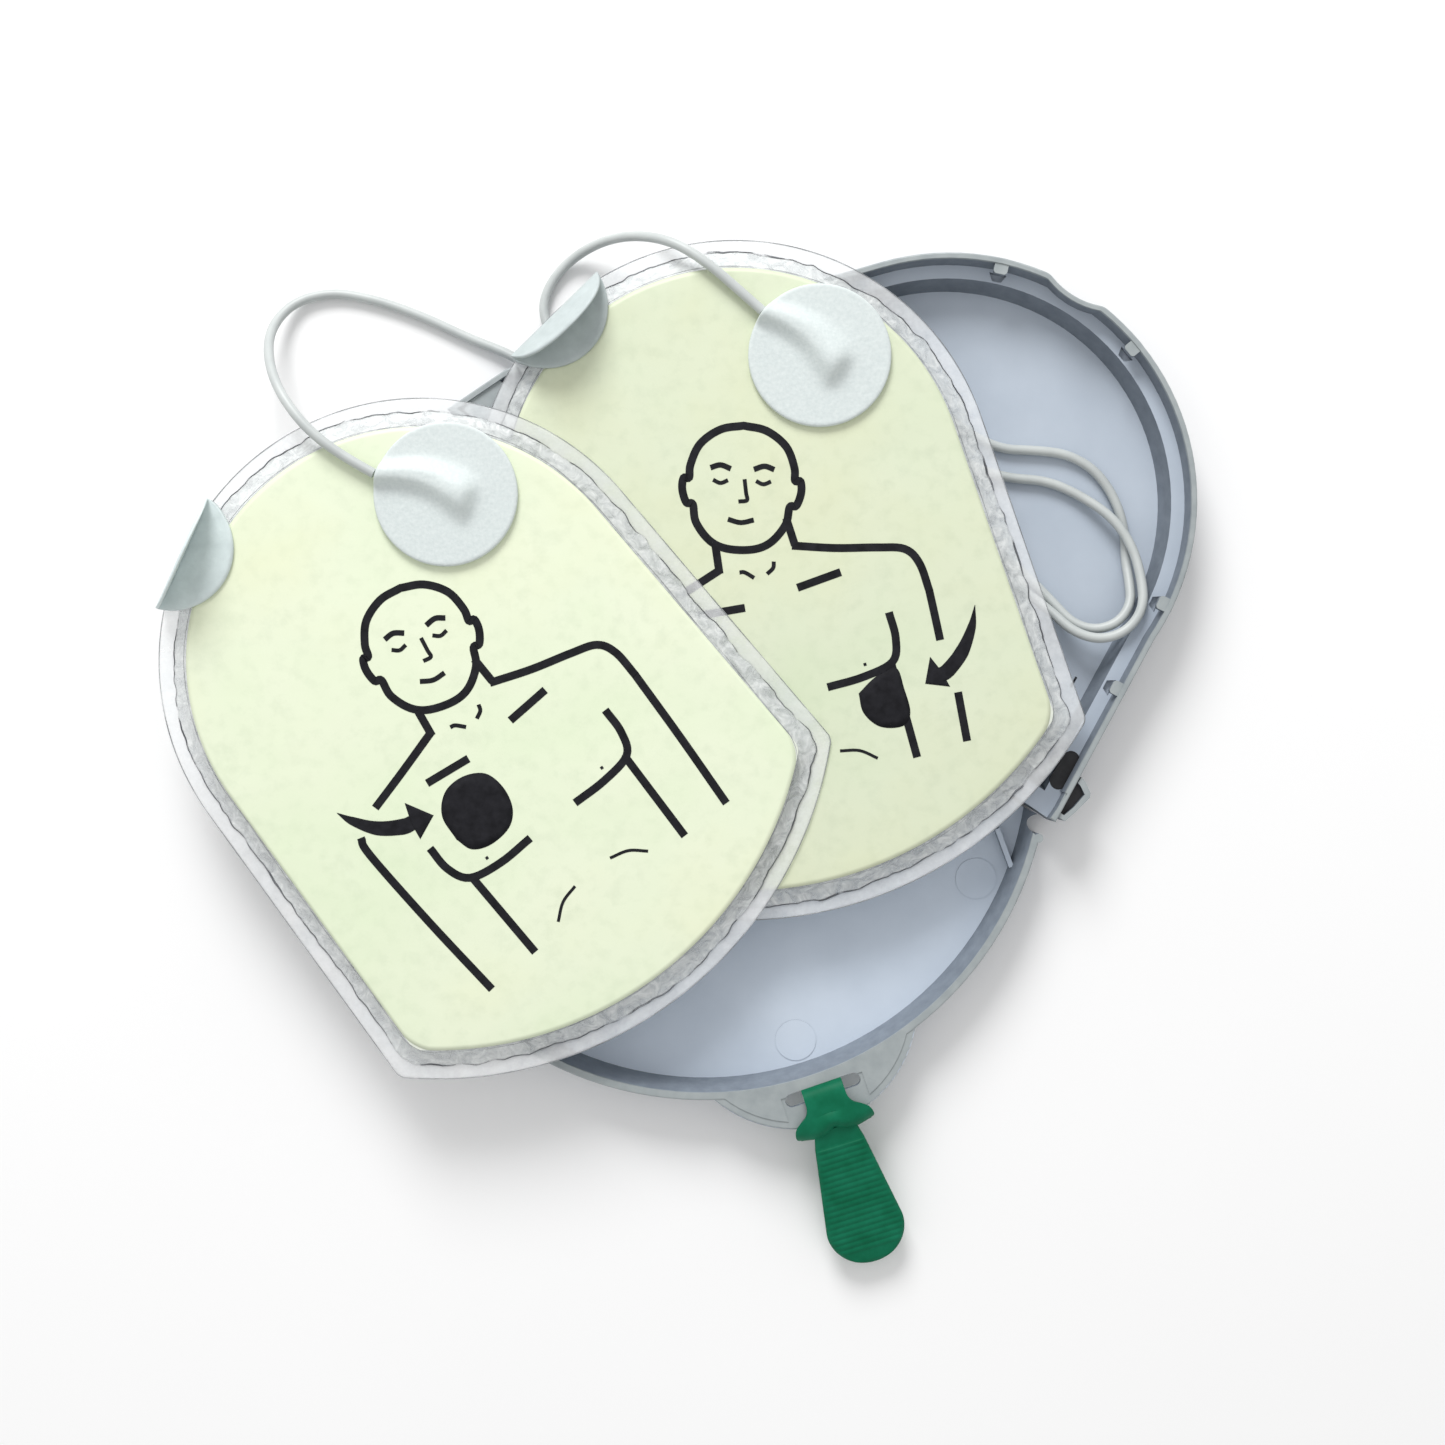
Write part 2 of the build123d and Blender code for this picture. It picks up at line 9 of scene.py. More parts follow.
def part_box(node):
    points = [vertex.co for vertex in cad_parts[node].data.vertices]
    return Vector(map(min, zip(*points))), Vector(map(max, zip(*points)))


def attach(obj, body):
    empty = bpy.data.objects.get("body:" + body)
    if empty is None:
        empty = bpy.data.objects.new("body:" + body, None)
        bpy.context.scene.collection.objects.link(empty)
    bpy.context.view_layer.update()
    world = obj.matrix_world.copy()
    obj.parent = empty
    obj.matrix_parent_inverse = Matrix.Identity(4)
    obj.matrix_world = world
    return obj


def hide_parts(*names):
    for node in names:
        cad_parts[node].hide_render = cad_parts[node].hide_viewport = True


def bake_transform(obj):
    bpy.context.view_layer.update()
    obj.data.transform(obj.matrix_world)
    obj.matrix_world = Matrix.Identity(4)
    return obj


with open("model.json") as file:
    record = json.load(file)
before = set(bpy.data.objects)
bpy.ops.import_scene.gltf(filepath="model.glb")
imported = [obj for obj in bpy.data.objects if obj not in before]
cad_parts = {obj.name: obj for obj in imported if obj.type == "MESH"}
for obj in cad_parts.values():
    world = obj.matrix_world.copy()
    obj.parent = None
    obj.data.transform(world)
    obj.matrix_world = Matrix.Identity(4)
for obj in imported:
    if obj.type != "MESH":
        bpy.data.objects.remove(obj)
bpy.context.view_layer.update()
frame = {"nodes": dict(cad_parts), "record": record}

MM = 0.001


# ---- small helpers ------------------------------------------------------------------
def rework(mesh, change=None):
    """Change a mesh, if a change is given, and turn all its faces outwards."""
    work = bmesh.new()
    work.from_mesh(mesh)
    if change:
        change(work)
    bmesh.ops.recalc_face_normals(work, faces=work.faces)
    work.to_mesh(mesh)
    work.free()


def mesh_object(name, verts, faces, smooth=True):
    """A mesh piece from vertices in millimetres of the row frame."""
    mesh = bpy.data.meshes.new(name)
    mesh.from_pydata([Vector(v) * MM for v in verts], [], faces)
    mesh.validate()
    piece = bpy.data.objects.new(name, mesh)
    bpy.context.scene.collection.objects.link(piece)
    rework(mesh)
    for face in mesh.polygons:
        face.use_smooth = smooth
    return piece


def finish_piece(piece, body, slot, material, *nodes):
    """Give a piece its look and its body, and hide the CAD nodes that it stands for."""
    piece.data.materials.clear()
    piece.data.materials.append(material)
    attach(piece, body)
    if nodes:
        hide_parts(*nodes)
    return piece


def rings_to_mesh(name, rings, close_top=True, close_bottom=True):
    """Skin closed rings of equal count, in millimetres, with a cap at each end."""
    count = len(rings[0])
    verts = [point for ring in rings for point in ring]
    faces = []
    for row in range(len(rings) - 1):
        for i in range(count):
            j = (i + 1) % count
            low, high = row * count, (row + 1) * count
            faces.append((low + i, low + j, high + j, high + i))
    if close_bottom:
        faces.append(tuple(reversed(range(count))))
    if close_top:
        last = (len(rings) - 1) * count
        faces.append(tuple(range(last, last + count)))
    return mesh_object(name, verts, faces)


def node_centre(node):
    low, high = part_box(node)
    return (Vector(low) + Vector(high)) / 2 / MM


# ---- materials ----------------------------------------------------------------------
class Look:
    """A node material built step by step around one Principled shader."""

    def __init__(self, name, roughness=0.5, **sockets):
        self.material = bpy.data.materials.new(name)
        self.material.use_nodes = True
        self.nodes = self.material.node_tree.nodes
        self.links = self.material.node_tree.links
        self.shader = self.nodes["Principled BSDF"]
        self.shader.inputs["Roughness"].default_value = roughness
        for socket, value in sockets.items():
            self.shader.inputs[socket.replace("_", " ")].default_value = value
        self.coords = self.nodes.new("ShaderNodeTexCoord").outputs["Object"]

    def noise(self, scale, detail=4.0, roughness=0.55, distortion=0.0):
        """Noise whose grain is given per millimetre."""
        node = self.nodes.new("ShaderNodeTexNoise")
        node.inputs["Scale"].default_value = scale / MM
        node.inputs["Detail"].default_value = detail
        node.inputs["Roughness"].default_value = roughness
        node.inputs["Distortion"].default_value = distortion
        self.links.new(self.coords, node.inputs["Vector"])
        return node.outputs["Fac"]

    def cells(self, scale):
        """Distance to the nearest of scattered points, so many to the millimetre."""
        node = self.nodes.new("ShaderNodeTexVoronoi")
        node.inputs["Scale"].default_value = scale / MM
        self.links.new(self.coords, node.inputs["Vector"])
        return node.outputs["Distance"]

    def ramp(self, factor, *stops):
        """Colours at places along a factor."""
        node = self.nodes.new("ShaderNodeValToRGB")
        ramp = node.color_ramp
        while len(ramp.elements) < len(stops):
            ramp.elements.new(0.5)
        for element, (place, colour) in zip(ramp.elements, stops):
            element.position = place
            element.color = (*colour, 1.0)
        self.links.new(factor, node.inputs["Fac"])
        return node.outputs["Color"]

    def level(self, factor, low, high, from_low=0.0, from_high=1.0):
        """A factor stretched from one range to another."""
        node = self.nodes.new("ShaderNodeMapRange")
        node.inputs["From Min"].default_value = from_low
        node.inputs["From Max"].default_value = from_high
        node.inputs["To Min"].default_value = low
        node.inputs["To Max"].default_value = high
        self.links.new(factor, node.inputs["Value"])
        return node.outputs["Result"]

    def mix(self, factor, first, second):
        """The first colour where the factor is zero, the second where it is one."""
        node = self.nodes.new("ShaderNodeMix")
        node.data_type = "RGBA"
        self.links.new(factor, node.inputs["Factor"])
        self.links.new(first, node.inputs["A"])
        self.links.new(second, node.inputs["B"])
        return node.outputs["Result"]

    def facing_up(self):
        """One on level faces and zero on walls, from the surface's own direction."""
        geometry = self.nodes.new("ShaderNodeNewGeometry")
        split = self.nodes.new("ShaderNodeSeparateXYZ")
        self.links.new(geometry.outputs["Normal"], split.inputs["Vector"])
        size = self.nodes.new("ShaderNodeMath")
        size.operation = "ABSOLUTE"
        self.links.new(split.outputs["Z"], size.inputs[0])
        return size.outputs["Value"]

    def height(self):
        """The height above the table, in metres."""
        split = self.nodes.new("ShaderNodeSeparateXYZ")
        self.links.new(self.coords, split.inputs["Vector"])
        return split.outputs["Z"]

    def bump(self, height, strength, depth):
        """Relief, its depth in millimetres, on top of any relief that is there already."""
        node = self.nodes.new("ShaderNodeBump")
        node.inputs["Strength"].default_value = strength
        node.inputs["Distance"].default_value = depth * MM
        self.links.new(height, node.inputs["Height"])
        previous = self.shader.inputs["Normal"].links
        if previous:
            self.links.new(previous[0].from_socket, node.inputs["Normal"])
        self.links.new(node.outputs["Normal"], self.shader.inputs["Normal"])

    def set(self, socket, value):
        self.links.new(value, self.shader.inputs[socket])


def tinted(colour, share):
    """A colour multiplied by one number, or by one for each of its three parts."""
    shares = share if isinstance(share, tuple) else (share,) * 3
    return tuple(part * factor for part, factor in zip(colour, shares))


def case_look(name, rim, floor_painted_light, wall_painted_light):
    """Cool light grey moulding, darker on its rims above a height, and darker on its walls by painted
    shade; the two shares passed in lighten or dim its greys as painted light.
    """
    look = Look(name, roughness=0.55)
    floor = look.ramp(look.noise(0.05, 6), (0.30, tinted((0.475, 0.54, 0.625), floor_painted_light)),
                      (0.72, tinted((0.54, 0.605, 0.69), floor_painted_light)))
    # painted shade: the darker grey given to the moulding's walls
    painted_shade_grey = look.ramp(look.noise(0.4, 3), (0.3, tinted((0.15, 0.175, 0.21), wall_painted_light)),
                     (0.7, tinted((0.19, 0.22, 0.26), wall_painted_light)))
    edge = look.ramp(look.noise(0.3, 4), (0.3, (0.30, 0.335, 0.345)), (0.7, (0.37, 0.405, 0.41)))
    # mask for the painted shade, from how far each face turns away from level
    painted_shade_mask = look.level(look.facing_up(), 0.0, 1.0, 0.25, 0.8)
    high = look.level(look.height(), 0.0, 1.0, (rim - 0.15) * MM, (rim + 0.05) * MM)
    look.set("Base Color", look.mix(high, look.mix(painted_shade_mask, painted_shade_grey, floor), edge))
    look.set("Roughness", look.level(look.noise(1.5, 2), 0.48, 0.64))
    look.bump(look.noise(5.0, 3), 0.25, 0.03)
    return look.material


def rubber_look():
    look = Look("black_rubber", roughness=0.6)
    dark, light = (0.012, 0.012, 0.014), (0.03, 0.03, 0.033)
    look.set("Base Color", look.ramp(look.noise(0.5), (0.3, dark), (0.7, light)))
    look.bump(look.noise(3.0), 0.3, 0.05)
    return look.material


def tab_look():
    """Green strap plastic, darker in clouds."""
    look = Look("tab_green", roughness=0.55, Specular_IOR_Level=0.12)
    dark, light = (0.001, 0.115, 0.052), (0.006, 0.165, 0.085)
    look.set("Base Color", look.ramp(look.noise(0.25, 5), (0.3, dark), (0.72, light)))
    look.set("Roughness", look.level(look.noise(0.8), 0.42, 0.6))
    look.bump(look.noise(2.5), 0.2, 0.04)
    return look.material


def film_look():
    """Clear stiff film with a faint haze."""
    look = Look("clear_film", roughness=0.12, IOR=1.45)
    dark, light = (0.90, 0.93, 0.95), (0.98, 0.985, 0.99)
    look.set("Base Color", look.ramp(look.noise(0.12, 5), (0.3, dark), (0.7, light)))
    look.set("Alpha", look.level(look.noise(0.22, 6, 0.65), 0.26, 0.42, 0.3, 0.7))
    look.bump(look.noise(0.12, 3, 0.5, 0.8), 0.4, 0.5)
    return look.material


def band_look():
    """Wrinkled adhesive between the film's weld line and the panel; its dark mottled greys are painted
    shade in the wrinkles.
    """
    look = Look("adhesive_band", roughness=0.25)
    mottle = look.noise(0.32, 6, 0.62, 1.0)
    dark, mid, light = (0.56, 0.59, 0.60), (0.77, 0.80, 0.80), (0.93, 0.95, 0.94)
    look.set("Base Color", look.ramp(mottle, (0.30, dark), (0.48, mid), (0.66, light)))
    look.set("Alpha", look.level(mottle, 0.22, 0.58, 0.3, 0.7))
    look.bump(look.noise(0.35, 5, 0.6, 1.5), 0.45, 0.5)
    return look.material


def line_look():
    """The adhesive's dark broken outline."""
    look = Look("adhesive_line", roughness=0.4)
    mottle = look.noise(0.25, 4, 0.6)
    dark, light = (0.03, 0.032, 0.038), (0.22, 0.23, 0.25)
    look.set("Base Color", look.ramp(mottle, (0.3, dark), (0.7, light)))
    look.set("Alpha", look.level(look.noise(0.16, 4), 0.05, 1.0, 0.40, 0.56))
    look.bump(look.noise(1.0), 0.4, 0.1)
    return look.material


# painted shade: a thin grey ribbon standing in for the darkening where light bends at the film's cut edge;
# the same grey also draws the panel's edge line
def edge_look():
    look = Look("film_edge", roughness=0.3)
    dark, light = (0.20, 0.21, 0.22), (0.42, 0.44, 0.45)
    look.set("Base Color", look.ramp(look.noise(0.2, 3), (0.3, dark), (0.7, light)))
    look.set("Alpha", look.level(look.noise(0.15, 3), 0.25, 0.75, 0.35, 0.65))
    return look.material


def panel_look(name, tone_and_painted_shade):
    """Printed face: cream with faint green and yellow clouds, a fine cloth-like tooth."""
    look = Look(name, roughness=0.5)
    # every colour is scaled by the share passed in; pad B's smaller share is painted shade
    cloud = look.ramp(look.noise(0.018, 4, 0.5), (0.32, tinted((0.78, 0.88, 0.63), tone_and_painted_shade)),
                      (0.5, tinted((0.86, 0.91, 0.70), tone_and_painted_shade)), (0.70, tinted((0.89, 0.89, 0.62), tone_and_painted_shade)))
    speck = look.ramp(look.noise(0.35, 6), (0.30, tinted((0.79, 0.83, 0.66), tone_and_painted_shade)),
                      (0.52, tinted((0.89, 0.92, 0.74), tone_and_painted_shade)))
    look.set("Base Color", look.mix(look.noise(0.06), cloud, speck))
    look.set("Roughness", look.level(look.noise(0.2), 0.42, 0.6))
    look.bump(look.noise(2.2, 3), 0.22, 0.05)
    look.bump(look.noise(0.035, 3), 0.4, 1.2)
    return look.material


def ink_look():
    look = Look("black_ink", roughness=0.75, Specular_IOR_Level=0.15)
    dark, light = (0.008, 0.008, 0.010), (0.018, 0.018, 0.022)
    look.set("Base Color", look.ramp(look.noise(0.5), (0.3, dark), (0.7, light)))
    look.bump(look.noise(2.0), 0.2, 0.03)
    return look.material


def foam_look():
    """Closed-cell foam: pale grey with a pebbled skin."""
    look = Look("foam_grey", roughness=0.6)
    dark, light = (0.60, 0.66, 0.655), (0.68, 0.735, 0.725)
    look.set("Base Color", look.ramp(look.noise(1.4, 5), (0.3, dark), (0.7, light)))
    look.bump(look.cells(1.6), 0.18, 0.10)
    look.bump(look.noise(2.8, 4), 0.3, 0.08)
    return look.material


def flap_look(name, share):
    """The film-backed foam of the peel flaps."""
    look = Look(name, roughness=0.55)
    # both greys are scaled by the share passed in; flap A's larger share is painted light
    dark, light = tinted((0.42, 0.475, 0.475), share), tinted((0.50, 0.56, 0.56), share)
    look.set("Base Color", look.ramp(look.noise(0.3, 5), (0.3, dark), (0.7, light)))
    look.bump(look.cells(1.3), 0.25, 0.1)
    return look.material


def white_foam_look():
    look = Look("foam_white", roughness=0.6)
    dark, light = (0.68, 0.72, 0.64), (0.78, 0.81, 0.72)
    look.set("Base Color", look.ramp(look.noise(0.3, 5), (0.3, dark), (0.7, light)))
    look.bump(look.cells(1.4), 0.3, 0.08)
    return look.material


def gel_look():
    look = Look("gel", roughness=0.15, IOR=1.38)
    dark, light = (0.70, 0.75, 0.72), (0.82, 0.86, 0.82)
    look.set("Base Color", look.ramp(look.noise(0.08), (0.3, dark), (0.7, light)))
    look.bump(look.noise(0.3), 0.3, 0.2)
    return look.material


def metal_look(name, colour, roughness):
    look = Look(name, roughness=roughness, Metallic=1.0)
    dim = tuple(0.8 * part for part in colour)
    look.set("Base Color", look.ramp(look.noise(0.6), (0.3, dim), (0.7, colour)))
    look.set("Roughness", look.level(look.noise(1.2), roughness - 0.08, roughness + 0.12))
    return look.material


def lead_look():
    """Soft grey lead sheath."""
    look = Look("lead_grey", roughness=0.42)
    dark, light = (0.46, 0.49, 0.485), (0.545, 0.575, 0.565)
    look.set("Base Color", look.ramp(look.noise(0.12, 4), (0.3, dark), (0.7, light)))
    look.bump(look.noise(1.6), 0.15, 0.05)
    return look.material


def table_look():
    look = Look("table", roughness=0.7)
    dark, light = (0.93, 0.93, 0.93), (0.95, 0.95, 0.95)
    look.set("Base Color", look.ramp(look.noise(0.004), (0.3, dark), (0.7, light)))
    return look.material


TRAY_RIM, COVER_RIM = 11.35, 9.3
TRAY_CASE = case_look("tray_grey", TRAY_RIM, 0.94, 1.0)
# painted light: the cover uses a lighter copy of the tray's greys, to offset the shade that the pads cast
# on it
COVER_CASE = case_look("cover_grey", COVER_RIM, 1.2, 1.25)
RUBBER, TAB = rubber_look(), tab_look()
FILM, BAND, LINE, EDGE = film_look(), band_look(), line_look(), edge_look()
# painted shade: pad B's print is a darker copy of pad A's
PANELS = {"pad_a": panel_look("print_a", (0.895, 0.925, 0.895)),
          "pad_b": panel_look("print_b", (0.78, 0.81, 0.77))}
INK = ink_look()
# painted light: flap A's foam is a lighter copy of flap B's, for its leaf standing nearly upright
FLAPS = {"pad_a": flap_look("flap_a", 1.4), "pad_b": flap_look("flap_b", 1.0)}
FOAM, WHITE_FOAM, GEL, LEAD = foam_look(), white_foam_look(), gel_look(), lead_look()
FOIL = metal_look("foil", (0.72, 0.72, 0.73), 0.35)
NICKEL = metal_look("nickel", (0.66, 0.64, 0.6), 0.3)

CAD_LOOKS = {
    "case_grey": TRAY_CASE, "black_rubber": RUBBER, "tab_green": TAB, "clear_film": FILM, "gel": GEL,
    "foil": FOIL, "foam_white": WHITE_FOAM, "pad_print": PANELS["pad_a"], "foam_grey": FOAM,
    "nickel": NICKEL, "lead_grey": LEAD,
}
for part in frame["record"]["subparts"]:
    cad = frame["nodes"][part["node"]]
    look = COVER_CASE if part["node"] == "cover" else CAD_LOOKS[part["material_slot"]]
    if not cad.material_slots:
        cad.data.materials.append(look)
    for slot in cad.material_slots:
        slot.material = look


# ---- camera, light and table --------------------------------------------------------
VIEW_X, VIEW_Y = 8.45, 6.99      # the camera looks straight down on this spot, in millimetres
VIEW_HIGH = 400.0
VIEW_WIDE = 300.3                # what the picture's width covers on the table
SENSOR_WIDE = 36.0
TABLE_HALF, TABLE_LOW = 2000, -0.1
WORLD_LIGHT = 0.68
KEY_AT, KEY_SIZE, KEY_POWER = (-0.20, 0.88, 0.60), 0.5, 9.5      # metres and watts


def make_camera():
    data = bpy.data.cameras.new("camera")
    data.sensor_width = SENSOR_WIDE
    data.lens = data.sensor_width * VIEW_HIGH / VIEW_WIDE
    camera = bpy.data.objects.new("camera", data)
    camera.location = Vector((VIEW_X, VIEW_Y, VIEW_HIGH)) * MM
    bpy.context.scene.collection.objects.link(camera)
    bpy.context.scene.camera = camera


def area_light(name, place, size, power):
    """A round lamp that faces the origin."""
    data = bpy.data.lights.new(name, "AREA")
    data.shape = "DISK"
    data.size = size
    data.energy = power
    light = bpy.data.objects.new(name, data)
    light.location = place
    light.rotation_euler = (-Vector(place)).to_track_quat("-Z", "Y").to_euler()
    bpy.context.scene.collection.objects.link(light)


def make_table():
    sides = ((-1, -1), (1, -1), (1, 1), (-1, 1))
    corners = [(x * TABLE_HALF, y * TABLE_HALF, TABLE_LOW) for x, y in sides]
    top = mesh_object("table", corners, [(0, 1, 2, 3)])
    top.data.materials.append(table_look())


def make_world():
    world = bpy.data.worlds.new("soft_room")
    world.use_nodes = True
    sky = world.node_tree.nodes["Background"]
    sky.inputs["Color"].default_value = (1, 1, 1, 1)
    sky.inputs["Strength"].default_value = WORLD_LIGHT
    bpy.context.scene.world = world
    bpy.context.scene.view_settings.view_transform = "Standard"


make_camera()
make_world()
make_table()
area_light("key", KEY_AT, KEY_SIZE, KEY_POWER)


# ---- leads --------------------------------------------------------------------------
LEAD_D = 2.0
LEAD_A = [
    (-60.45, 56.21, 19.5), (-67.75, 60.19, 19.5), (-74.55, 65.79, 19.7), (-80.15, 73.39, 17.4),
    (-83.55, 81.39, 11.2), (-84.15, 88.59, 4.6), (-80.15, 94.19, 1.35), (-72.55, 96.19, 1.05),
    (-64.15, 94.79, 1.05), (-54.15, 91.39, 1.05), (-44.15, 86.59, 1.05), (-35.95, 83.39, 1.65),
    (-29.55, 79.39, 2.95), (-23.55, 73.99, 2.85), (-13.35, 71.39, 2.7), (-1.95, 75.19, 2.7),
    (10.05, 79.89, 2.7), (21.65, 83.19, 2.7), (32.65, 81.39, 2.7), (42.25, 75.39, 2.7),
    (50.05, 67.39, 2.7), (58.05, 60.39, 2.7), (67.05, 57.39, 2.7), (75.2, 57.0, 2.7),
    (82.3, 53.8, 3.0), (88.6, 49.1, 4.9), (92.6, 43.0, 5.4), (94.04, 35.87, 7.4),
    (94.04, 30.13, 8.9), (90.67, 25.48, 9.0), (85.2, 23.7, 9.0), (79.73, 25.48, 8.2),
    (75.6, 29.8, 6.2), (70.2, 34.2, 4.0), (64.8, 38.4, 2.8), (59.6, 41.6, 2.7),
    (54.6, 43.7, 2.7),
]
LEAD_B = [
    (16.45, 88.99, 16.5), (11.25, 93.59, 16.5), (5.65, 98.39, 16.7), (-0.75, 102.79, 15.7),
    (-7.95, 105.39, 11.6), (-14.95, 105.99, 6.0), (-21.35, 103.99, 1.85), (-26.15, 99.79, 1.05),
    (-28.95, 93.99, 1.15), (-27.75, 88.19, 1.75), (-23.75, 82.79, 2.95), (-19.75, 77.19, 2.85),
    (-12.75, 75.79, 2.7), (-2.45, 79.69, 2.7), (9.05, 83.19, 2.7), (20.25, 86.19, 2.7),
    (30.65, 85.99, 2.7), (40.45, 81.79, 2.7), (49.25, 74.99, 2.7), (57.65, 67.59, 2.7),
    (65.45, 63.39, 2.7), (72.6, 63.2, 2.7), (79.2, 62.5, 2.7), (84.6, 59.7, 2.7),
    (88.2, 55.4, 2.7), (90.5, 50.4, 2.7), (91.5, 45.4, 2.7), (91.6, 40.2, 2.9),
    (92.02, 36.01, 4.6), (92.02, 31.19, 6.4), (89.18, 27.29, 7.3), (84.6, 25.8, 7.0),
    (80.02, 27.29, 6.0), (76.4, 31.6, 4.4), (72.0, 36.4, 3.0), (67.0, 41.0, 2.7),
    (60.5, 45.6, 2.7), (52.0, 49.0, 2.7), (43.0, 50.4, 2.7), (34.0, 50.9, 2.7),
    (25.0, 51.7, 2.7),
]
COIL_TURNS = 6
COIL_STEPS = 16
COIL_FLOOR = 1.7                 # the underside of the lowest turn
COIL_MEAN = 12.5                 # radius between the two turns of a layer
COIL_SIDE = 1.04                 # half of the distance between them
COIL_LAYER = LEAD_D + 0.03
COIL_EASE = 0.3                  # share of a turn in which the lead passes to the next one
TAIL_PAST = 5.0                  # how far the lead goes on past the middle of its tail


def coil_points(centre, start_angle, direction, end_angle):
    """Turns of a coil, two side by side on each of three layers."""
    sides = [1, -1, -1, 1, 1, -1]
    layers = [0, 0, 1, 1, 2, 2]
    sweep = (end_angle - start_angle) * direction % 360
    total = COIL_STEPS * COIL_TURNS + round(COIL_STEPS * sweep / 360)
    points = []
    for step in range(total + 1):
        turn = step / COIL_STEPS
        whole = min(int(turn), COIL_TURNS - 1)
        after = min(whole + 1, COIL_TURNS - 1)
        ease = min(1.0, max(0.0, (turn - whole - (1 - COIL_EASE)) / COIL_EASE))
        radius = COIL_MEAN + COIL_SIDE * (sides[whole] * (1 - ease) + sides[after] * ease)
        layer = layers[whole] * (1 - ease) + layers[after] * ease
        angle = math.radians(start_angle + direction * 360 * turn)
        points.append((centre.x + radius * math.cos(angle), centre.y + radius * math.sin(angle),
                       COIL_FLOOR + LEAD_D / 2 + layer * COIL_LAYER))
    return points


def make_lead(name, route, start_angle, direction, end_angle, replaced):
    """A lead as one smooth curve: its route, its coil and its straight tail into the block."""
    middle = node_centre(f"{name}_tail")
    turns = coil_points(node_centre(f"{name}_coil"), start_angle, direction, end_angle)
    points = route + turns + [tuple(middle), tail_end(middle, turns[-1])]
    curve = bpy.data.curves.new(name + "_cord", "CURVE")
    curve.dimensions = "3D"
    spline = curve.splines.new("NURBS")
    spline.points.add(len(points) - 1)
    for control, point in zip(spline.points, points):
        control.co = (*(Vector(point) * MM), 1.0)
    spline.order_u = 3
    spline.use_endpoint_u = True
    spline.resolution_u = 6
    curve.bevel_depth = LEAD_D / 2 * MM
    curve.bevel_resolution = 5
    curve.use_fill_caps = True
    piece = bpy.data.objects.new(name + "_cord", curve)
    bpy.context.scene.collection.objects.link(piece)
    return finish_piece(piece, "root", "lead_grey", LEAD, *replaced)


def tail_end(middle, before):
    """Where the lead goes into the terminal block, straight on past the tail's middle."""
    return tuple(middle + (middle - Vector(before)).normalized() * TAIL_PAST)


def curve_length(piece):
    """Real length of a lead, read from its own smooth line."""
    bare = piece.copy()
    bare.data = piece.data.copy()
    bare.data.bevel_depth = 0.0
    bare.data.use_fill_caps = False
    line = bpy.data.meshes.new_from_object(bare)
    spots = [vertex.co for vertex in line.vertices]
    total = sum((spots[edge.vertices[1]] - spots[edge.vertices[0]]).length for edge in line.edges)
    bpy.data.objects.remove(bare)
    return total


# each lead's route, the angle at which it joins its coil, the way it winds and where it leaves
COIL_WINDS = {"lead_a": (LEAD_A, 90, 1, 145.8), "lead_b": (LEAD_B, -90, -1, -34.2)}
for lead_name, (route, start, direction, end) in COIL_WINDS.items():
    cord_nodes = [lead_name, f"{lead_name}_coil", f"{lead_name}_tail"]
    cord = make_lead(lead_name, route, start, direction, end, cord_nodes)
    real = curve_length(cord)


# ---- pads ---------------------------------------------------------------------------
# each pad's place, the turn of its own frame in degrees and the height of its underside
PADS = {"pad_a": (-51.75, 19.39, 38.15, 15.0), "pad_b": (10.95, 51.69, 16.86, 12.0)}
FILM_R = 52.5
FILM_HALF, FILM_DOWN, FILM_SAG = 55.0, 62.8, 22.0
FOOT_R = (FILM_HALF ** 2 + FILM_SAG ** 2) / (2 * FILM_SAG)
FOOT_Y = -FILM_DOWN - FILM_SAG + FOOT_R
PANEL_IN = 6.2
FILM_CORNER, PANEL_CORNER = 0.8, 3.0
PAD_MIDDLE = Vector((0.0, -16.0))
PANEL_TOP = 3.0                  # the printed face above the pad's underside
PRINT_LOW, PRINT_WAVE = 0.09, 0.08
FILM_LOW, FILM_THICK, FILM_RIM = 0.03, 0.2, 0.1
FILM_WAVE, FILM_FREE, FILM_GRAIN = 0.16, 5.0, 0.06     # height, reach inwards and grain of its waves
BORDER_LOW, BORDER_CLIMB, BORDER_THICK = 0.52, 2.3, 0.08
BORDER_MIDDLE = 3.0              # where the noise for the adhesive's edge is read
SEARCH_REACH = 110.0             # farther from the pad's middle than any edge of it
EDGE_POINTS = 360
SIDE_ANGLE = math.acos(FILM_R / math.hypot(FILM_HALF, FILM_DOWN)) - math.atan2(FILM_DOWN, FILM_HALF)


def depth_in_pad(x, y):
    """How far a point lies inside the film's top and sides, and inside its round foot."""
    angle = math.atan2(y, abs(x))
    if angle >= SIDE_ANGLE:
        upper = FILM_R - math.hypot(x, y)
    else:
        upper = FILM_R - abs(x) * math.cos(SIDE_ANGLE) - y * math.sin(SIDE_ANGLE)
    foot = FOOT_R - math.hypot(x, y - FOOT_Y)
    return upper, foot


def inside(x, y, inset):
    """How far a point lies inside the outline drawn this far in from the film's edge."""
    upper, foot = depth_in_pad(x, y)
    corner = FILM_CORNER + (PANEL_CORNER - FILM_CORNER) * min(inset / PANEL_IN, 1.0)
    near_side, near_foot = max(corner - upper + inset, 0.0), max(corner - foot + inset, 0.0)
    if near_side and near_foot:
        return corner - math.hypot(near_side, near_foot)
    return min(upper, foot) - inset


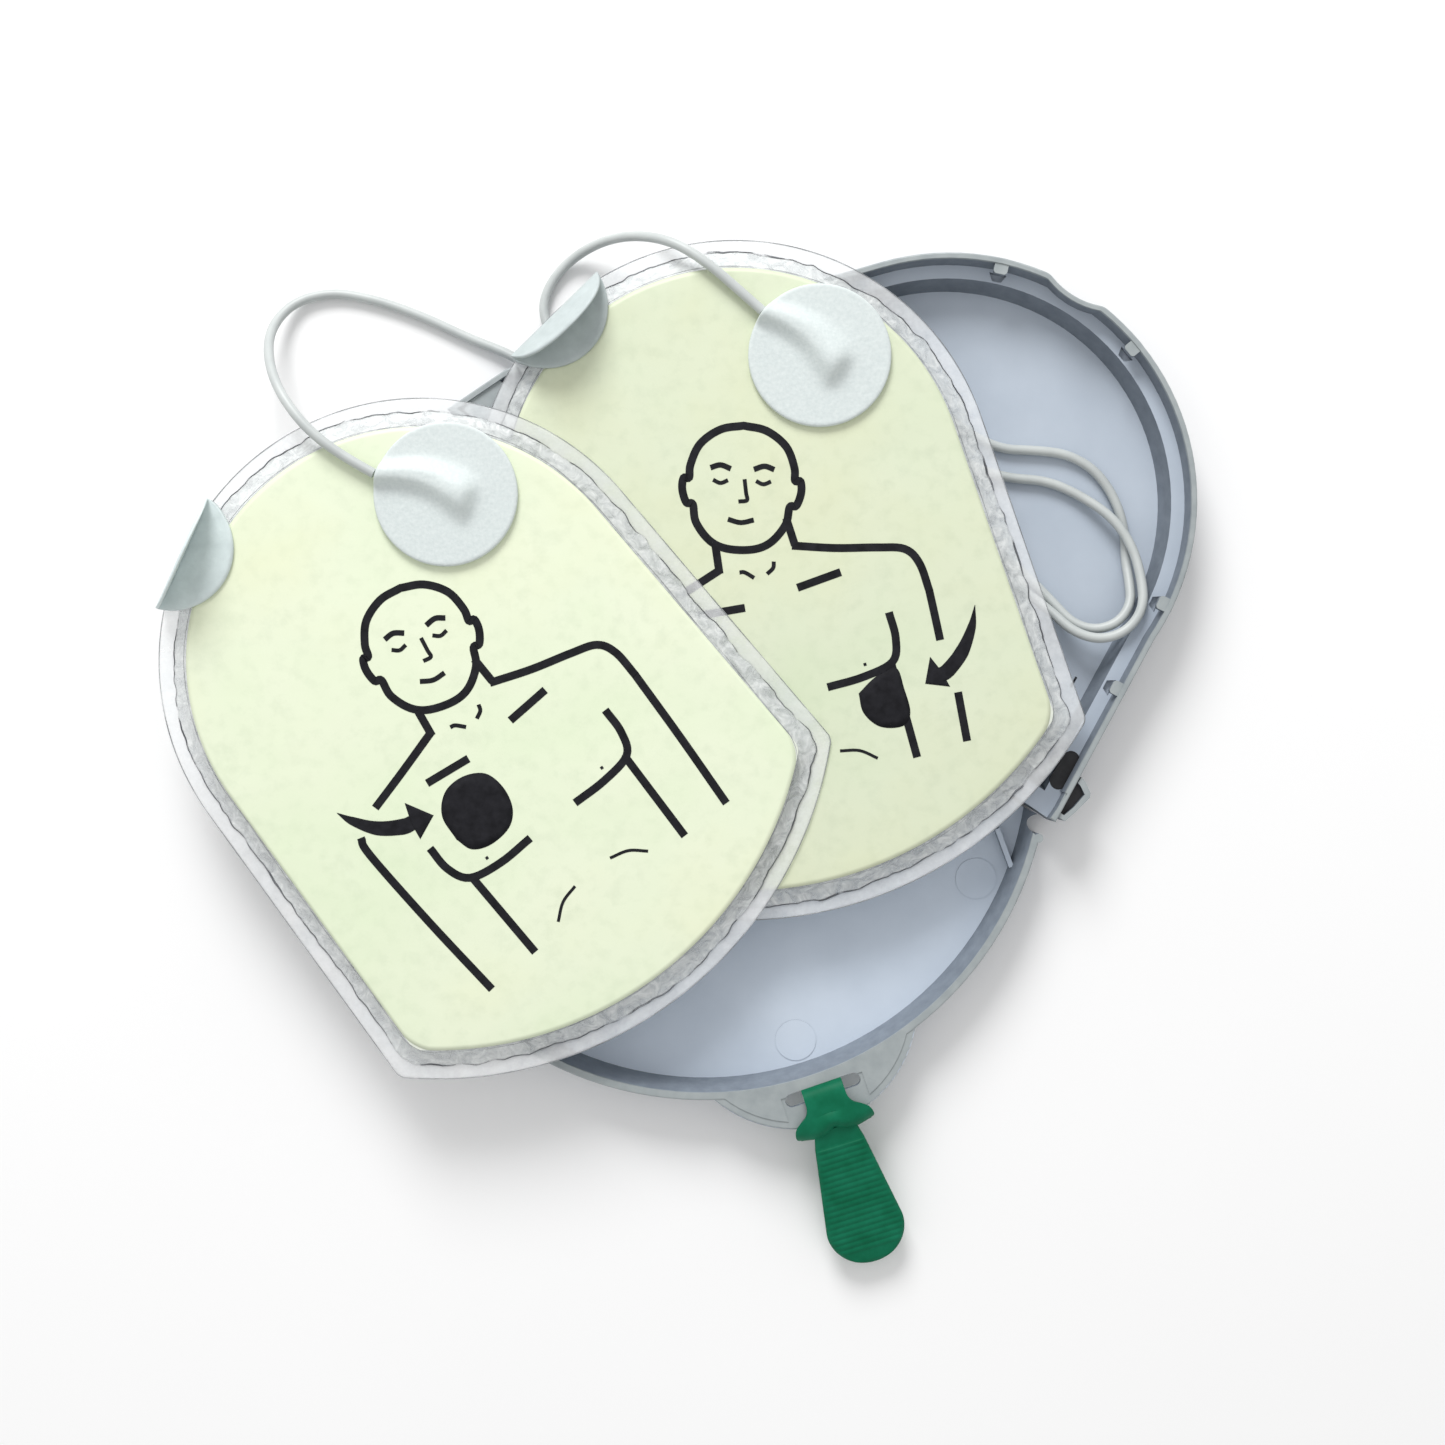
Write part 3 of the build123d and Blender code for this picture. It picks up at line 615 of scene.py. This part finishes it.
def edge_point(angle, inset):
    """The outline's point in one direction from the pad's middle, found by halving."""
    direction = Vector((math.cos(angle), math.sin(angle)))
    low, high = 0.0, SEARCH_REACH
    for _ in range(22):
        half = (low + high) / 2
        spot = PAD_MIDDLE + direction * half
        if inside(spot.x, spot.y, inset) > 0:
            low = half
        else:
            high = half
    return PAD_MIDDLE + direction * low


def edge_ring(count, inset):
    """Closed ring of points; inset is a number or a function of the direction."""
    ring = []
    for i in range(count):
        angle = 2 * math.pi * i / count
        ring.append(edge_point(angle, inset(angle) if callable(inset) else inset))
    return ring


def pad_noise(name, x, y, scale):
    """Smooth noise from -1 to 1, different on each pad."""
    return noise.noise(Vector((x * scale, y * scale, 7.3 if name == "pad_a" else 41.9)))


def place_on_pad(piece, name):
    x, y, turn, _ = PADS[name]
    rotation = Matrix.Rotation(math.radians(turn), 4, "Z")
    piece.data.transform(Matrix.Translation((x * MM, y * MM, 0)) @ rotation)
    return piece


def panel_z(name, x, y):
    """Height of the printed face, which is very slightly uneven."""
    return PADS[name][3] + PANEL_TOP - PRINT_LOW + PRINT_WAVE * pad_noise(name, x, y, 0.045)


def make_panel(name):
    """The printed face: rings that shrink from its edge to the pad's middle."""
    outline = edge_ring(EDGE_POINTS, PANEL_IN)
    shares = (1.0, 0.985, 0.95, 0.9, 0.82, 0.73, 0.63, 0.52, 0.41, 0.3, 0.2, 0.1, 0.04)
    base = PADS[name][3]
    rings = [[(p.x, p.y, base + PANEL_TOP - 0.2) for p in outline]]
    for share in shares:
        ring = []
        for p in outline:
            spot = PAD_MIDDLE + (p - PAD_MIDDLE) * share
            edge = 0.06 if share == 1.0 else 0.0
            ring.append((spot.x, spot.y, panel_z(name, spot.x, spot.y) - edge))
        rings.append(ring)
    piece = place_on_pad(rings_to_mesh(f"{name}_panel", rings), name)
    return finish_piece(piece, "root", "pad_print", PANELS[name], f"{name}_printed_face")


def make_film(name):
    """The release film: one flat sheet whose free border lies a little wavy."""
    base = PADS[name][3]
    top, bottom = [], []
    for inset in (0.0, 0.5, 1.2, 2.0, 3.0, 4.0, 5.2, 6.6, 8.4):
        wave = FILM_WAVE * max(0.0, 1 - inset / FILM_FREE)
        thick = FILM_THICK if inset else FILM_RIM
        lower, upper = [], []
        for p in edge_ring(EDGE_POINTS, inset):
            z = base + FILM_LOW + wave * (1 + pad_noise(name, p.x, p.y, FILM_GRAIN))
            lower.append((p.x, p.y, z))
            upper.append((p.x, p.y, z + thick))
        bottom.append(lower)
        top.append(upper)
    rings = list(reversed(bottom)) + top
    piece = place_on_pad(rings_to_mesh(f"{name}_film", rings), name)
    return finish_piece(piece, "root", "clear_film", FILM, f"{name}_release_film")


def border_in(name, angle):
    """How far in from the film's edge the adhesive ends, in a wandering line."""
    spot = edge_point(angle, BORDER_MIDDLE)
    slow = pad_noise(name, spot.x, spot.y, 0.045)
    quick = pad_noise(name, spot.x + 90, spot.y, 0.28)
    fine = pad_noise(name, spot.x + 40, spot.y, 0.62)
    sharp = abs(pad_noise(name, spot.x, spot.y + 150, 0.16))
    return 2.75 + 0.75 * slow + 0.42 * quick + 0.2 * fine + 1.1 * sharp ** 2


def make_border(name):
    """Wrinkled adhesive margin that climbs from the film to the panel's edge."""
    count, steps = 720, 9
    base = PADS[name][3]
    outer = edge_ring(count, lambda angle: border_in(name, angle))
    inner = edge_ring(count, PANEL_IN + 0.05)
    top, bottom = [], []
    for step in range(steps + 1):
        share = step / steps
        climb = share ** 1.6
        ripple = math.sin(math.pi * share) ** 0.7
        upper = []
        for a, b in zip(outer, inner):
            p = a + (b - a) * share
            crease = 0.20 * pad_noise(name, p.x, p.y, 0.33) + 0.10 * pad_noise(name, p.x + 60, p.y, 0.9)
            z = base + BORDER_LOW + BORDER_CLIMB * climb + ripple * crease
            upper.append((p.x, p.y, z))
        top.append(upper)
        bottom.append([(x, y, z - BORDER_THICK) for x, y, z in upper])
    rings = list(reversed(bottom)) + top
    piece = place_on_pad(rings_to_mesh(f"{name}_border", rings, False, False), name)
    close_sleeve(piece, count)
    return finish_piece(piece, "root", "clear_film", BAND)


def close_sleeve(piece, count):
    """Join the last ring of a ring stack to its first one."""
    mesh = piece.data
    start = len(mesh.vertices) - count

    def join(work):
        work.verts.ensure_lookup_table()
        for i in range(count):
            j = (i + 1) % count
            work.faces.new([work.verts[at] for at in (start + i, start + j, j, i)])

    rework(mesh, join)
    for face in mesh.polygons:
        face.use_smooth = True


def make_wander(title, name, inset, width, height, material):
    """A fine closed line on the pad: inset depends on the direction, width and height on the spot."""
    count = 1200
    rings = [[], [], [], []]
    for i in range(count):
        angle = 2 * math.pi * i / count
        middle = edge_point(angle, inset(angle))
        half = width(middle) / 2
        outward = (middle - PAD_MIDDLE).normalized()
        z = height(middle)
        left, right = middle - outward * half, middle + outward * half
        rings[0].append((left.x, left.y, z))
        rings[1].append((middle.x, middle.y, z + 0.10))
        rings[2].append((right.x, right.y, z))
        rings[3].append((middle.x, middle.y, z - 0.05))
    piece = rings_to_mesh(f"{name}_{title}", rings, False, False)
    close_sleeve(piece, count)
    place_on_pad(piece, name)
    return finish_piece(piece, "root", "clear_film", material)


def make_lines(name):
    """The adhesive's outline, the film's edge and the panel's edge."""
    base = PADS[name][3]

    def panel_edge_in(angle):
        return 5.85 + 0.35 * pad_noise(name, 40 * math.cos(angle), 40 * math.sin(angle), 0.11)

    make_wander("weld_line", name, lambda angle: border_in(name, angle) - 0.05,
                lambda p: 0.2 + 0.4 * max(0.0, pad_noise(name, p.x, p.y + 30, 0.12)),
                lambda p: base + 0.55, LINE)
    # painted shade at the film's cut edge
    make_wander("film_edge", name, lambda angle: 0.1,
                lambda p: 0.2 + 0.08 * pad_noise(name, p.x, p.y, 0.1),
                lambda p: base + 0.22 + FILM_WAVE * (1 + pad_noise(name, p.x, p.y, FILM_GRAIN)), EDGE)
    make_wander("panel_edge", name, panel_edge_in,
                lambda p: 0.16 + 0.12 * pad_noise(name, p.x, p.y, 0.2),
                lambda p: base + PANEL_TOP - 0.22, EDGE)


# ---- the printed figure -------------------------------------------------------------
INK_HIGH = 0.05


def catmull_rom(padded, steps):
    """Smooth curve through points, of which the first and the last only give the direction."""
    path = []
    for a, b, c, d in zip(padded, padded[1:], padded[2:], padded[3:]):
        for step in range(steps):
            t = step / steps
            path.append(0.5 * (2 * b + (c - a) * t + (2 * a - 5 * b + 4 * c - d) * t * t
                               + (3 * b - a - 3 * c + d) * t ** 3))
    return path + [padded[-2]]


def smooth_path(points, steps=6):
    """Smooth open curve through points, ends included."""
    points = [Vector(p) for p in points]
    if len(points) == 2:
        return points
    return catmull_rom([2 * points[0] - points[1], *points, 2 * points[-1] - points[-2]], steps)


def ink_mesh(title, name, sections, closed=False):
    """A printed stroke from pairs of left and right points, lying on the panel."""
    verts, faces = [], []
    for left, right in sections:
        for p, lift in ((left, -0.02), (left, INK_HIGH), (right, INK_HIGH), (right, -0.02)):
            verts.append((p.x, p.y, panel_z(name, p.x, p.y) + lift))
    count = len(sections)
    for i in range(count if closed else count - 1):
        low, high = 4 * i, 4 * ((i + 1) % count)
        for k in range(4):
            m = (k + 1) % 4
            faces.append((low + k, low + m, high + m, high + k))
    if not closed:
        faces += [(0, 1, 2, 3), (4 * count - 1, 4 * count - 2, 4 * count - 3, 4 * count - 4)]
    piece = place_on_pad(mesh_object(f"{name}_{title}", verts, faces, smooth=False), name)
    return finish_piece(piece, "root", "pad_print", INK)


def stroke(title, name, points, widths=1.6, closed=False, smooth=True):
    path = smooth_path(points + points[:1] if closed else points) if smooth else [Vector(p) for p in points]
    if closed and smooth:
        path = path[:-1]
    count = len(path)
    sections = []
    for i, here in enumerate(path):
        if closed:
            ahead = path[(i + 1) % count] - path[i - 1]
        else:
            ahead = path[min(i + 1, count - 1)] - path[max(i - 1, 0)]
        if isinstance(widths, (int, float)):
            wide = widths
        else:
            place = i / (count - 1) * (len(widths) - 1)
            low = min(int(place), len(widths) - 2)
            wide = widths[low] + (widths[low + 1] - widths[low]) * (place - low)
        aside = Vector((-ahead.y, ahead.x)).normalized() * wide / 2
        sections.append((here + aside, here - aside))
    return ink_mesh(title, name, sections, closed)


def blob(title, name, outline):
    """A filled printed shape: rings shrinking to its middle."""
    path = smooth_path(outline + outline[:1])[:-1]
    middle = sum(path, Vector((0, 0))) / len(path)
    rings = [[(p.x, p.y, panel_z(name, p.x, p.y) - 0.02) for p in path]]
    for share in (1.0, 0.75, 0.5, 0.25, 0.05):
        ring = [middle + (p - middle) * share for p in path]
        rings.append([(p.x, p.y, panel_z(name, p.x, p.y) + INK_HIGH) for p in ring])
    piece = place_on_pad(rings_to_mesh(f"{name}_{title}", rings), name)
    return finish_piece(piece, "root", "pad_print", INK)


HEAD_AT, HEAD_TURN = Vector((2.0, 1.9)), math.radians(-18.6)


def on_head(*points):
    """Points given from the head's middle, upright, put where the tilted head is."""
    turn = Matrix.Rotation(HEAD_TURN, 2)
    return [tuple(HEAD_AT + turn @ Vector(p)) for p in points]


def draw_head(name):
    right = [(4.6, 11.4), (8.6, 8.4), (10.4, 4.2), (10.6, 1.6), (11.7, 1.5), (11.9, -0.8), (11.0, -3.4),
             (9.7, -3.7), (9.0, -7.2), (6.2, -10.8), (2.6, -12.4)]
    left = [(-x, y) for x, y in reversed(right)]
    stroke("head", name, on_head((0.0, 12.3), *right, *left), 1.6, closed=True)
    for side, word in ((-1, "left"), (1, "right")):
        stroke(f"brow_{word}", name, on_head((side * 2.3, 3.6), (side * 4.4, 4.3), (side * 6.4, 3.7)), 1.1)
        stroke(f"eye_{word}", name, on_head((side * 2.8, 1.3), (side * 4.3, 0.7), (side * 5.8, 1.3)), 0.8)
    stroke("nose", name, on_head((0.5, 1.6), (0.9, -1.2), (1.1, -2.6), (-0.6, -2.9)), 0.8)
    stroke("mouth", name, on_head((-2.6, -6.5), (0.0, -7.1), (2.6, -6.5)), 1.0)


def draw_trunk(name):
    """The lines that both pads' figures share."""
    stroke("neck_right", name, [(8.7, -6.6), (8.8, -12.3)], smooth=False)
    stroke("shoulder_right", name,
           [(8.2, -12.2), (16.4, -15.2), (24.4, -17.5), (29.6, -19.4), (31.6, -23.0), (31.9, -29.0)])
    stroke("neck_left", name, [(-6.4, -7.4), (-7.3, -13.4)], smooth=False)
    stroke("shoulder_left", name, [(-7.0, -12.7), (-16.4, -15.4), (-25.0, -17.7)])
    stroke("chest_right", name, [(22.9, -30.6), (22.7, -36.0), (20.7, -40.3), (14.2, -41.5), (6.8, -41.4)])
    stroke("collar_right", name, [(6.8, -20.6), (16.0, -20.1)], smooth=False)
    stroke("collar_left", name, [(-13.9, -20.2), (-4.4, -21.4)], smooth=False)
    stroke("notch_left", name, [(-3.4, -14.3), (-2.4, -14.6), (-0.9, -16.2)], 0.8)
    stroke("notch_right", name, [(3.8, -14.2), (3.3, -15.4), (1.8, -16.2)], 0.8)
    stroke("mark_right", name, [(15.0, -39.2), (15.6, -39.2)], 0.6, smooth=False)
    stroke("belly_right", name, [(5.5, -54.3), (9.3, -55.4), (12.3, -57.9)], 0.6)


def draw_figure_a(name):
    """What only pad A's figure has, with the mark on the chest at the left."""
    stroke("arm_right", name, [(31.9, -28.6), (31.3, -44.0), (30.4, -60.0)])
    stroke("side_right", name, [(20.3, -40.0), (19.9, -60.0)], smooth=False)
    stroke("arm_left", name, [(-30.9, -20.6), (-31.6, -24.4), (-30.6, -42.0), (-29.0, -60.3)])
    stroke("chest_left", name,
           [(-21.4, -30.7), (-21.2, -36.0), (-18.8, -40.2), (-12.2, -41.6), (-4.5, -41.4)])
    stroke("side_left", name, [(-18.4, -40.0), (-17.7, -59.8)], smooth=False)
    stroke("mark_left", name, [(-14.0, -39.2), (-13.4, -39.2)], 0.6, smooth=False)
    stroke("belly_left", name, [(-3.4, -54.4), (-7.2, -55.4), (-10.4, -57.9)], 0.6)
    blob("pad_mark", name,
         [(-16.2, -32.6), (-15.6, -27.2), (-12.2, -23.8), (-7.6, -23.5), (-3.6, -25.8),
          (-2.5, -30.2), (-3.6, -34.6), (-6.6, -37.2), (-11.4, -37.6), (-15.0, -36.0)])
    tail = [(-31.6, -13.8), (-30.2, -16.9), (-27.2, -21.1), (-23.0, -24.0), (-20.6, -24.6)]
    stroke("arrow_tail", name, tail, (0.1, 1.7, 2.8, 3.2, 2.9))
    blob("arrow_tip", name, sharp_loop((-19.8, -20.5), (-16.8, -26.0), (-21.8, -28.1), (-21.3, -24.6)))


def draw_figure_b(name):
    """What only pad B's figure has, with the mark below the chest at the right."""
    stroke("arm_right", name, [(31.9, -28.6), (31.5, -34.0), (31.1, -38.9)])
    stroke("forearm_right", name, [(31.5, -49.9), (30.4, -59.8)], smooth=False)
    stroke("side_right", name, [(20.4, -40.0), (19.9, -60.0)], smooth=False)
    blob("pad_mark", name,
         [(12.4, -44.4), (16.6, -42.2), (21.0, -41.6), (21.4, -46.0),
          (21.2, -51.0), (19.0, -53.2), (14.6, -52.0), (12.2, -48.4)])
    tail = [(39.8, -34.2), (37.9, -38.2), (34.6, -42.4), (30.9, -45.1), (29.0, -45.6)]
    stroke("arrow_tail", name, tail, (0.1, 1.7, 2.8, 3.0, 2.9))
    blob("arrow_tip", name, sharp_loop((28.2, -41.5), (25.7, -46.4), (30.3, -48.4), (29.6, -45.0)))


def sharp_loop(*corners):
    """A closed outline that keeps its corners when it is smoothed."""
    loop = []
    for a, b in zip(corners, corners[1:] + corners[:1]):
        a, b = Vector(a), Vector(b)
        loop += [tuple(a), tuple(a + (b - a) * 0.06), tuple(a + (b - a) * 0.5), tuple(a + (b - a) * 0.94)]
    return loop


# ---- foam discs and peel flaps ------------------------------------------------------
DISC_AT, DISC_R, DISC_THICK = Vector((24.5, 22.5)), 14.3, 1.2
LEAD_ANGLE = math.radians(126.0)
LEAF_AT_R, LEAF_HALF, LEAF_SAG, LEAF_THICK = 51.1, 12.0, 9.6, 0.8
LEAF_TURN = math.radians(117.6)
LEAF_LIFT = {"pad_a": math.radians(74.0), "pad_b": math.radians(57.0)}
LEAF_GAP = 0.15
LEAF_BODY = {"pad_a": "leaf_a", "pad_b": "leaf_b"}


def disc_height(u, v):
    """Height of the foam disc: a bowed channel over the lead that widens over the snap."""
    half = 2.2 + 1.5 * max(0.0, min(1.0, (12.0 - u) / 15.0))
    middle = -2.0 * math.sin(math.pi * max(0.0, min(1.0, (DISC_R - u) / 19.0)))
    fall = 1 / (1 + math.exp(-(u + 5.2) / 0.6))
    channel = 2.3 * math.exp(-(abs((v - middle) / half) ** 2.8)) * fall
    bump = 0.5 * math.exp(-((u + 2.6) ** 2 + (v + 0.9) ** 2) / 12.0)
    return DISC_THICK + channel + bump


def make_disc(name):
    """The foam disc over the lead's end: its rounded rim, then rings in to its middle."""
    base = PADS[name][3] + PANEL_TOP
    count = 240
    turn = Matrix.Rotation(LEAD_ANGLE, 2)
    rings = []
    rim = [(0.25, None), (0.0, 0.25), (0.0, 0.7), (0.1, 0.88), (0.35, 1.0)]
    radii = [(DISC_R - inwards, share) for inwards, share in rim]
    radii += [(13.5 - 0.6 * step, 1.0) for step in range(23)]
    for radius, share in radii:
        ring = []
        for i in range(count):
            angle = 2 * math.pi * i / count
            u, v = radius * math.cos(angle), radius * math.sin(angle)
            spot = DISC_AT + turn @ Vector((u, v))
            high = 0.02 if share is None else share * disc_height(u, v)
            grain = 0.0 if share is None else 0.03 * pad_noise(name, spot.x, spot.y, 1.1)
            ring.append((spot.x, spot.y, base + high + grain))
        rings.append(ring)
    piece = place_on_pad(rings_to_mesh(f"{name}_foam_disc", rings), name)
    finish_piece(piece, "root", "foam_grey", FOAM, f"{name}_lead_disc")


def make_leaf(name, title, low, high, lift):
    """Half of a peel flap: a thin foam leaf from its fold line inwards."""
    radius = (LEAF_HALF ** 2 + LEAF_SAG ** 2) / (2 * LEAF_SAG)
    across, along = 14, 36
    outline = Matrix.Rotation(LEAF_TURN, 2)
    fold = outline @ Vector((LEAF_AT_R, 0))
    verts, faces = [], []
    for level in (0, 1):
        for i in range(along + 1):
            angle = math.pi * (i / along - 0.5)
            v = LEAF_HALF * math.sin(angle)
            reach = math.sqrt(max(radius ** 2 - v ** 2, 0)) - (radius - LEAF_SAG)
            for j in range(across + 1):
                u = reach * j / across
                z = (low, high)[level](u)
                if level and j == across:
                    z -= 0.25
                x, z = -u * math.cos(lift) + z * math.sin(lift), u * math.sin(lift) + z * math.cos(lift)
                spot = fold + outline @ Vector((x, v))
                verts.append((spot.x, spot.y, z))
    row, sheet = across + 1, (across + 1) * (along + 1)
    for i in range(along):
        for j in range(across):
            a, b, c, d = i * row + j, i * row + j + 1, (i + 1) * row + j + 1, (i + 1) * row + j
            faces += [(a, b, c, d), (a + sheet, d + sheet, c + sheet, b + sheet)]
        for j in (0, across):
            a, b = i * row + j, (i + 1) * row + j
            faces.append((a, b, b + sheet, a + sheet))
    piece = mesh_object(f"{name}_{title}", verts, faces)
    rework(piece.data, lambda work: bmesh.ops.remove_doubles(work, verts=work.verts, dist=LEAF_WELD))
    return place_on_pad(piece, name)


LEAF_CURVE = {"pad_a": 0.15, "pad_b": 0.35}
LEAF_WELD = 0.00002              # in metres


def make_flap(name):
    top = PADS[name][3] + PANEL_TOP
    curve = LEAF_CURVE[name]
    foot = make_leaf(name, "flap_foot", lambda u: top + 0.02 - 2.4 * max(0.0, 1 - u / 4.6),
                     lambda u: top + LEAF_THICK, 0.0)
    finish_piece(foot, "root", "foam_grey", FLAPS[name], f"{name}_peel_base")
    leaf = make_leaf(name, "flap_leaf", lambda u: -curve * math.sin(math.pi * u / LEAF_SAG),
                     lambda u: 0.6 - curve * math.sin(math.pi * u / LEAF_SAG), LEAF_LIFT[name])
    leaf.data.transform(Matrix.Translation((0, 0, (top + LEAF_THICK + LEAF_GAP) * MM)))
    finish_piece(leaf, LEAF_BODY[name], "foam_grey", FLAPS[name], f"{name}_peel_leaf")


for pad_name, draw in (("pad_a", draw_figure_a), ("pad_b", draw_figure_b)):
    make_film(pad_name)
    make_panel(pad_name)
    make_border(pad_name)
    make_lines(pad_name)
    draw_head(pad_name)
    draw_trunk(pad_name)
    draw(pad_name)
    make_disc(pad_name)
    make_flap(pad_name)


# ---- pull tab -----------------------------------------------------------------------
EAR_AT, EAR_TURN = (27.24, -62.94), math.radians(-71.06)
TAB_PIVOT, TAB_TURN = (32.3, -78.62, 8.6), math.radians(-73.0)
TAB_LONG, TAB_NECK, TAB_WIDE, TAB_HALF_THICK = 26.72, 5.2, 8.1, 1.0
TAB_DROOP = math.radians(11.0)
RIBS, RIB_FIRST, RIB_STEP, RIB_HIGH = 19, -0.4, 1.26, 0.13
HITCH_THICK, HITCH_SOFT = 1.0, 0.3


def make_hitch():
    """The strap's flared end: over the ear's bar, down in front of it and back through the slot."""
    stations = [
        (4.6, 7.6, 4.25), (4.4, 8.6, 4.25), (4.6, 9.7, 4.25), (5.2, 10.3, 4.25), (6.0, 10.55, 4.25),
        (7.0, 10.6, 4.3), (8.0, 10.6, 4.6), (9.0, 10.6, 5.2), (10.1, 10.6, 6.3), (11.3, 10.5, 7.3),
        (12.4, 10.2, 7.8), (13.1, 9.5, 7.9), (13.4, 8.6, 7.6), (13.2, 7.6, 7.0), (12.4, 6.8, 6.2),
        (11.2, 6.4, 5.4), (9.8, 6.3, 4.8), (8.0, 6.3, 4.4), (6.4, 6.35, 4.25), (5.2, 6.7, 4.25),
    ]
    round_trip = [Vector(station) for station in (stations[-1], *stations, *stations[:2])]
    path = catmull_rom(round_trip, 4)[:-1]
    across = 24
    verts, faces = [], []
    for out, z, half in path:
        flare = max(0.0, (half - 4.5) / 3.6)
        for k in range(across + 1):
            share = 2 * k / across - 1
            y = half * share
            front = max(0.0, min(1.0, (out - 9.5) / 3.0))
            notch = 1.7 * front * math.exp(-(((y + 0.2) / 2.0) ** 2))
            curl = 1.5 * flare * abs(share) ** 3 * (1 if z > 8.4 else -0.2)
            lift = 0.9 * front * math.exp(-(((y + 0.2) / 2.6) ** 2)) * (1 if z > 8.4 else 0)
            verts.append((out - notch - 0.9 * flare * share ** 2, y, z - curl + lift))
    row = across + 1
    for i in range(len(path)):
        j = (i + 1) % len(path)
        for k in range(across):
            faces.append((i * row + k, i * row + k + 1, j * row + k + 1, j * row + k))
    piece = mesh_object("strap_hitch", verts, faces)
    rotation = Matrix.Rotation(EAR_TURN, 4, "Z")
    piece.data.transform(Matrix.Translation((EAR_AT[0] * MM, EAR_AT[1] * MM, 0)) @ rotation)
    thick = piece.modifiers.new("thickness", "SOLIDIFY")
    thick.thickness = HITCH_THICK * MM
    thick.offset = -1.0
    soft = piece.modifiers.new("soft_edges", "BEVEL")
    soft.width = HITCH_SOFT * MM
    soft.segments = 3
    soft.limit_method = "ANGLE"
    soft.angle_limit = math.radians(50)
    finish_piece(piece, "cover_body", "tab_green", TAB, "tab_loop")


def rib_height(x):
    """Fine transverse ribs across the blade's top."""
    count = (x - RIB_FIRST) / RIB_STEP
    if not 0 <= count <= RIBS:
        return 0.0
    return RIB_HIGH * (0.5 - 0.5 * math.cos(2 * math.pi * count)) ** 0.6


def make_blade():
    swell = TAB_LONG - TAB_WIDE
    stations, rings = 300, []
    start = -3.9
    for i in range(stations + 1):
        share = i / stations
        x = start + (TAB_LONG - 0.02 - start) * share
        if x < swell:
            half = TAB_NECK + (TAB_WIDE - TAB_NECK) * max(x, 0.0) / swell - 0.25 * max(-x, 0.0)
        else:
            half = TAB_WIDE * math.sqrt(max(0.0, 1 - ((x - swell) / TAB_WIDE) ** 2))
        half = max(half, 0.25)
        round_off = min(1.0, 0.45 + 0.55 * math.sqrt(min(1.0, (TAB_LONG - x) / 1.0)))
        thick = TAB_HALF_THICK * round_off * (1.0 if x > 0 else 0.8)
        ring = []
        for k in range(21):
            y = half * (2 * k / 20 - 1)
            inset = half - abs(y)
            roll = 0.35 * max(0.0, 1 - inset / 0.7) ** 2
            rib = rib_height(x) * min(1.0, inset / 0.9)
            ring.append((x, y, thick - roll + rib))
        for k in range(21):
            y = half * (1 - 2 * k / 20)
            inset = half - abs(y)
            ring.append((x, y, -thick + 0.35 * max(0.0, 1 - inset / 0.7) ** 2))
        rings.append(ring)
    piece = rings_to_mesh("pull_strap", rings)
    droop = Matrix.Rotation(TAB_DROOP, 4, "Y")
    place = Matrix.Translation(Vector(TAB_PIVOT) * MM) @ Matrix.Rotation(TAB_TURN, 4, "Z") @ droop
    piece.data.transform(place)
    piece.data.materials.append(TAB)
    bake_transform(piece)
    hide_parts("tab_blade")


make_hitch()
make_blade()
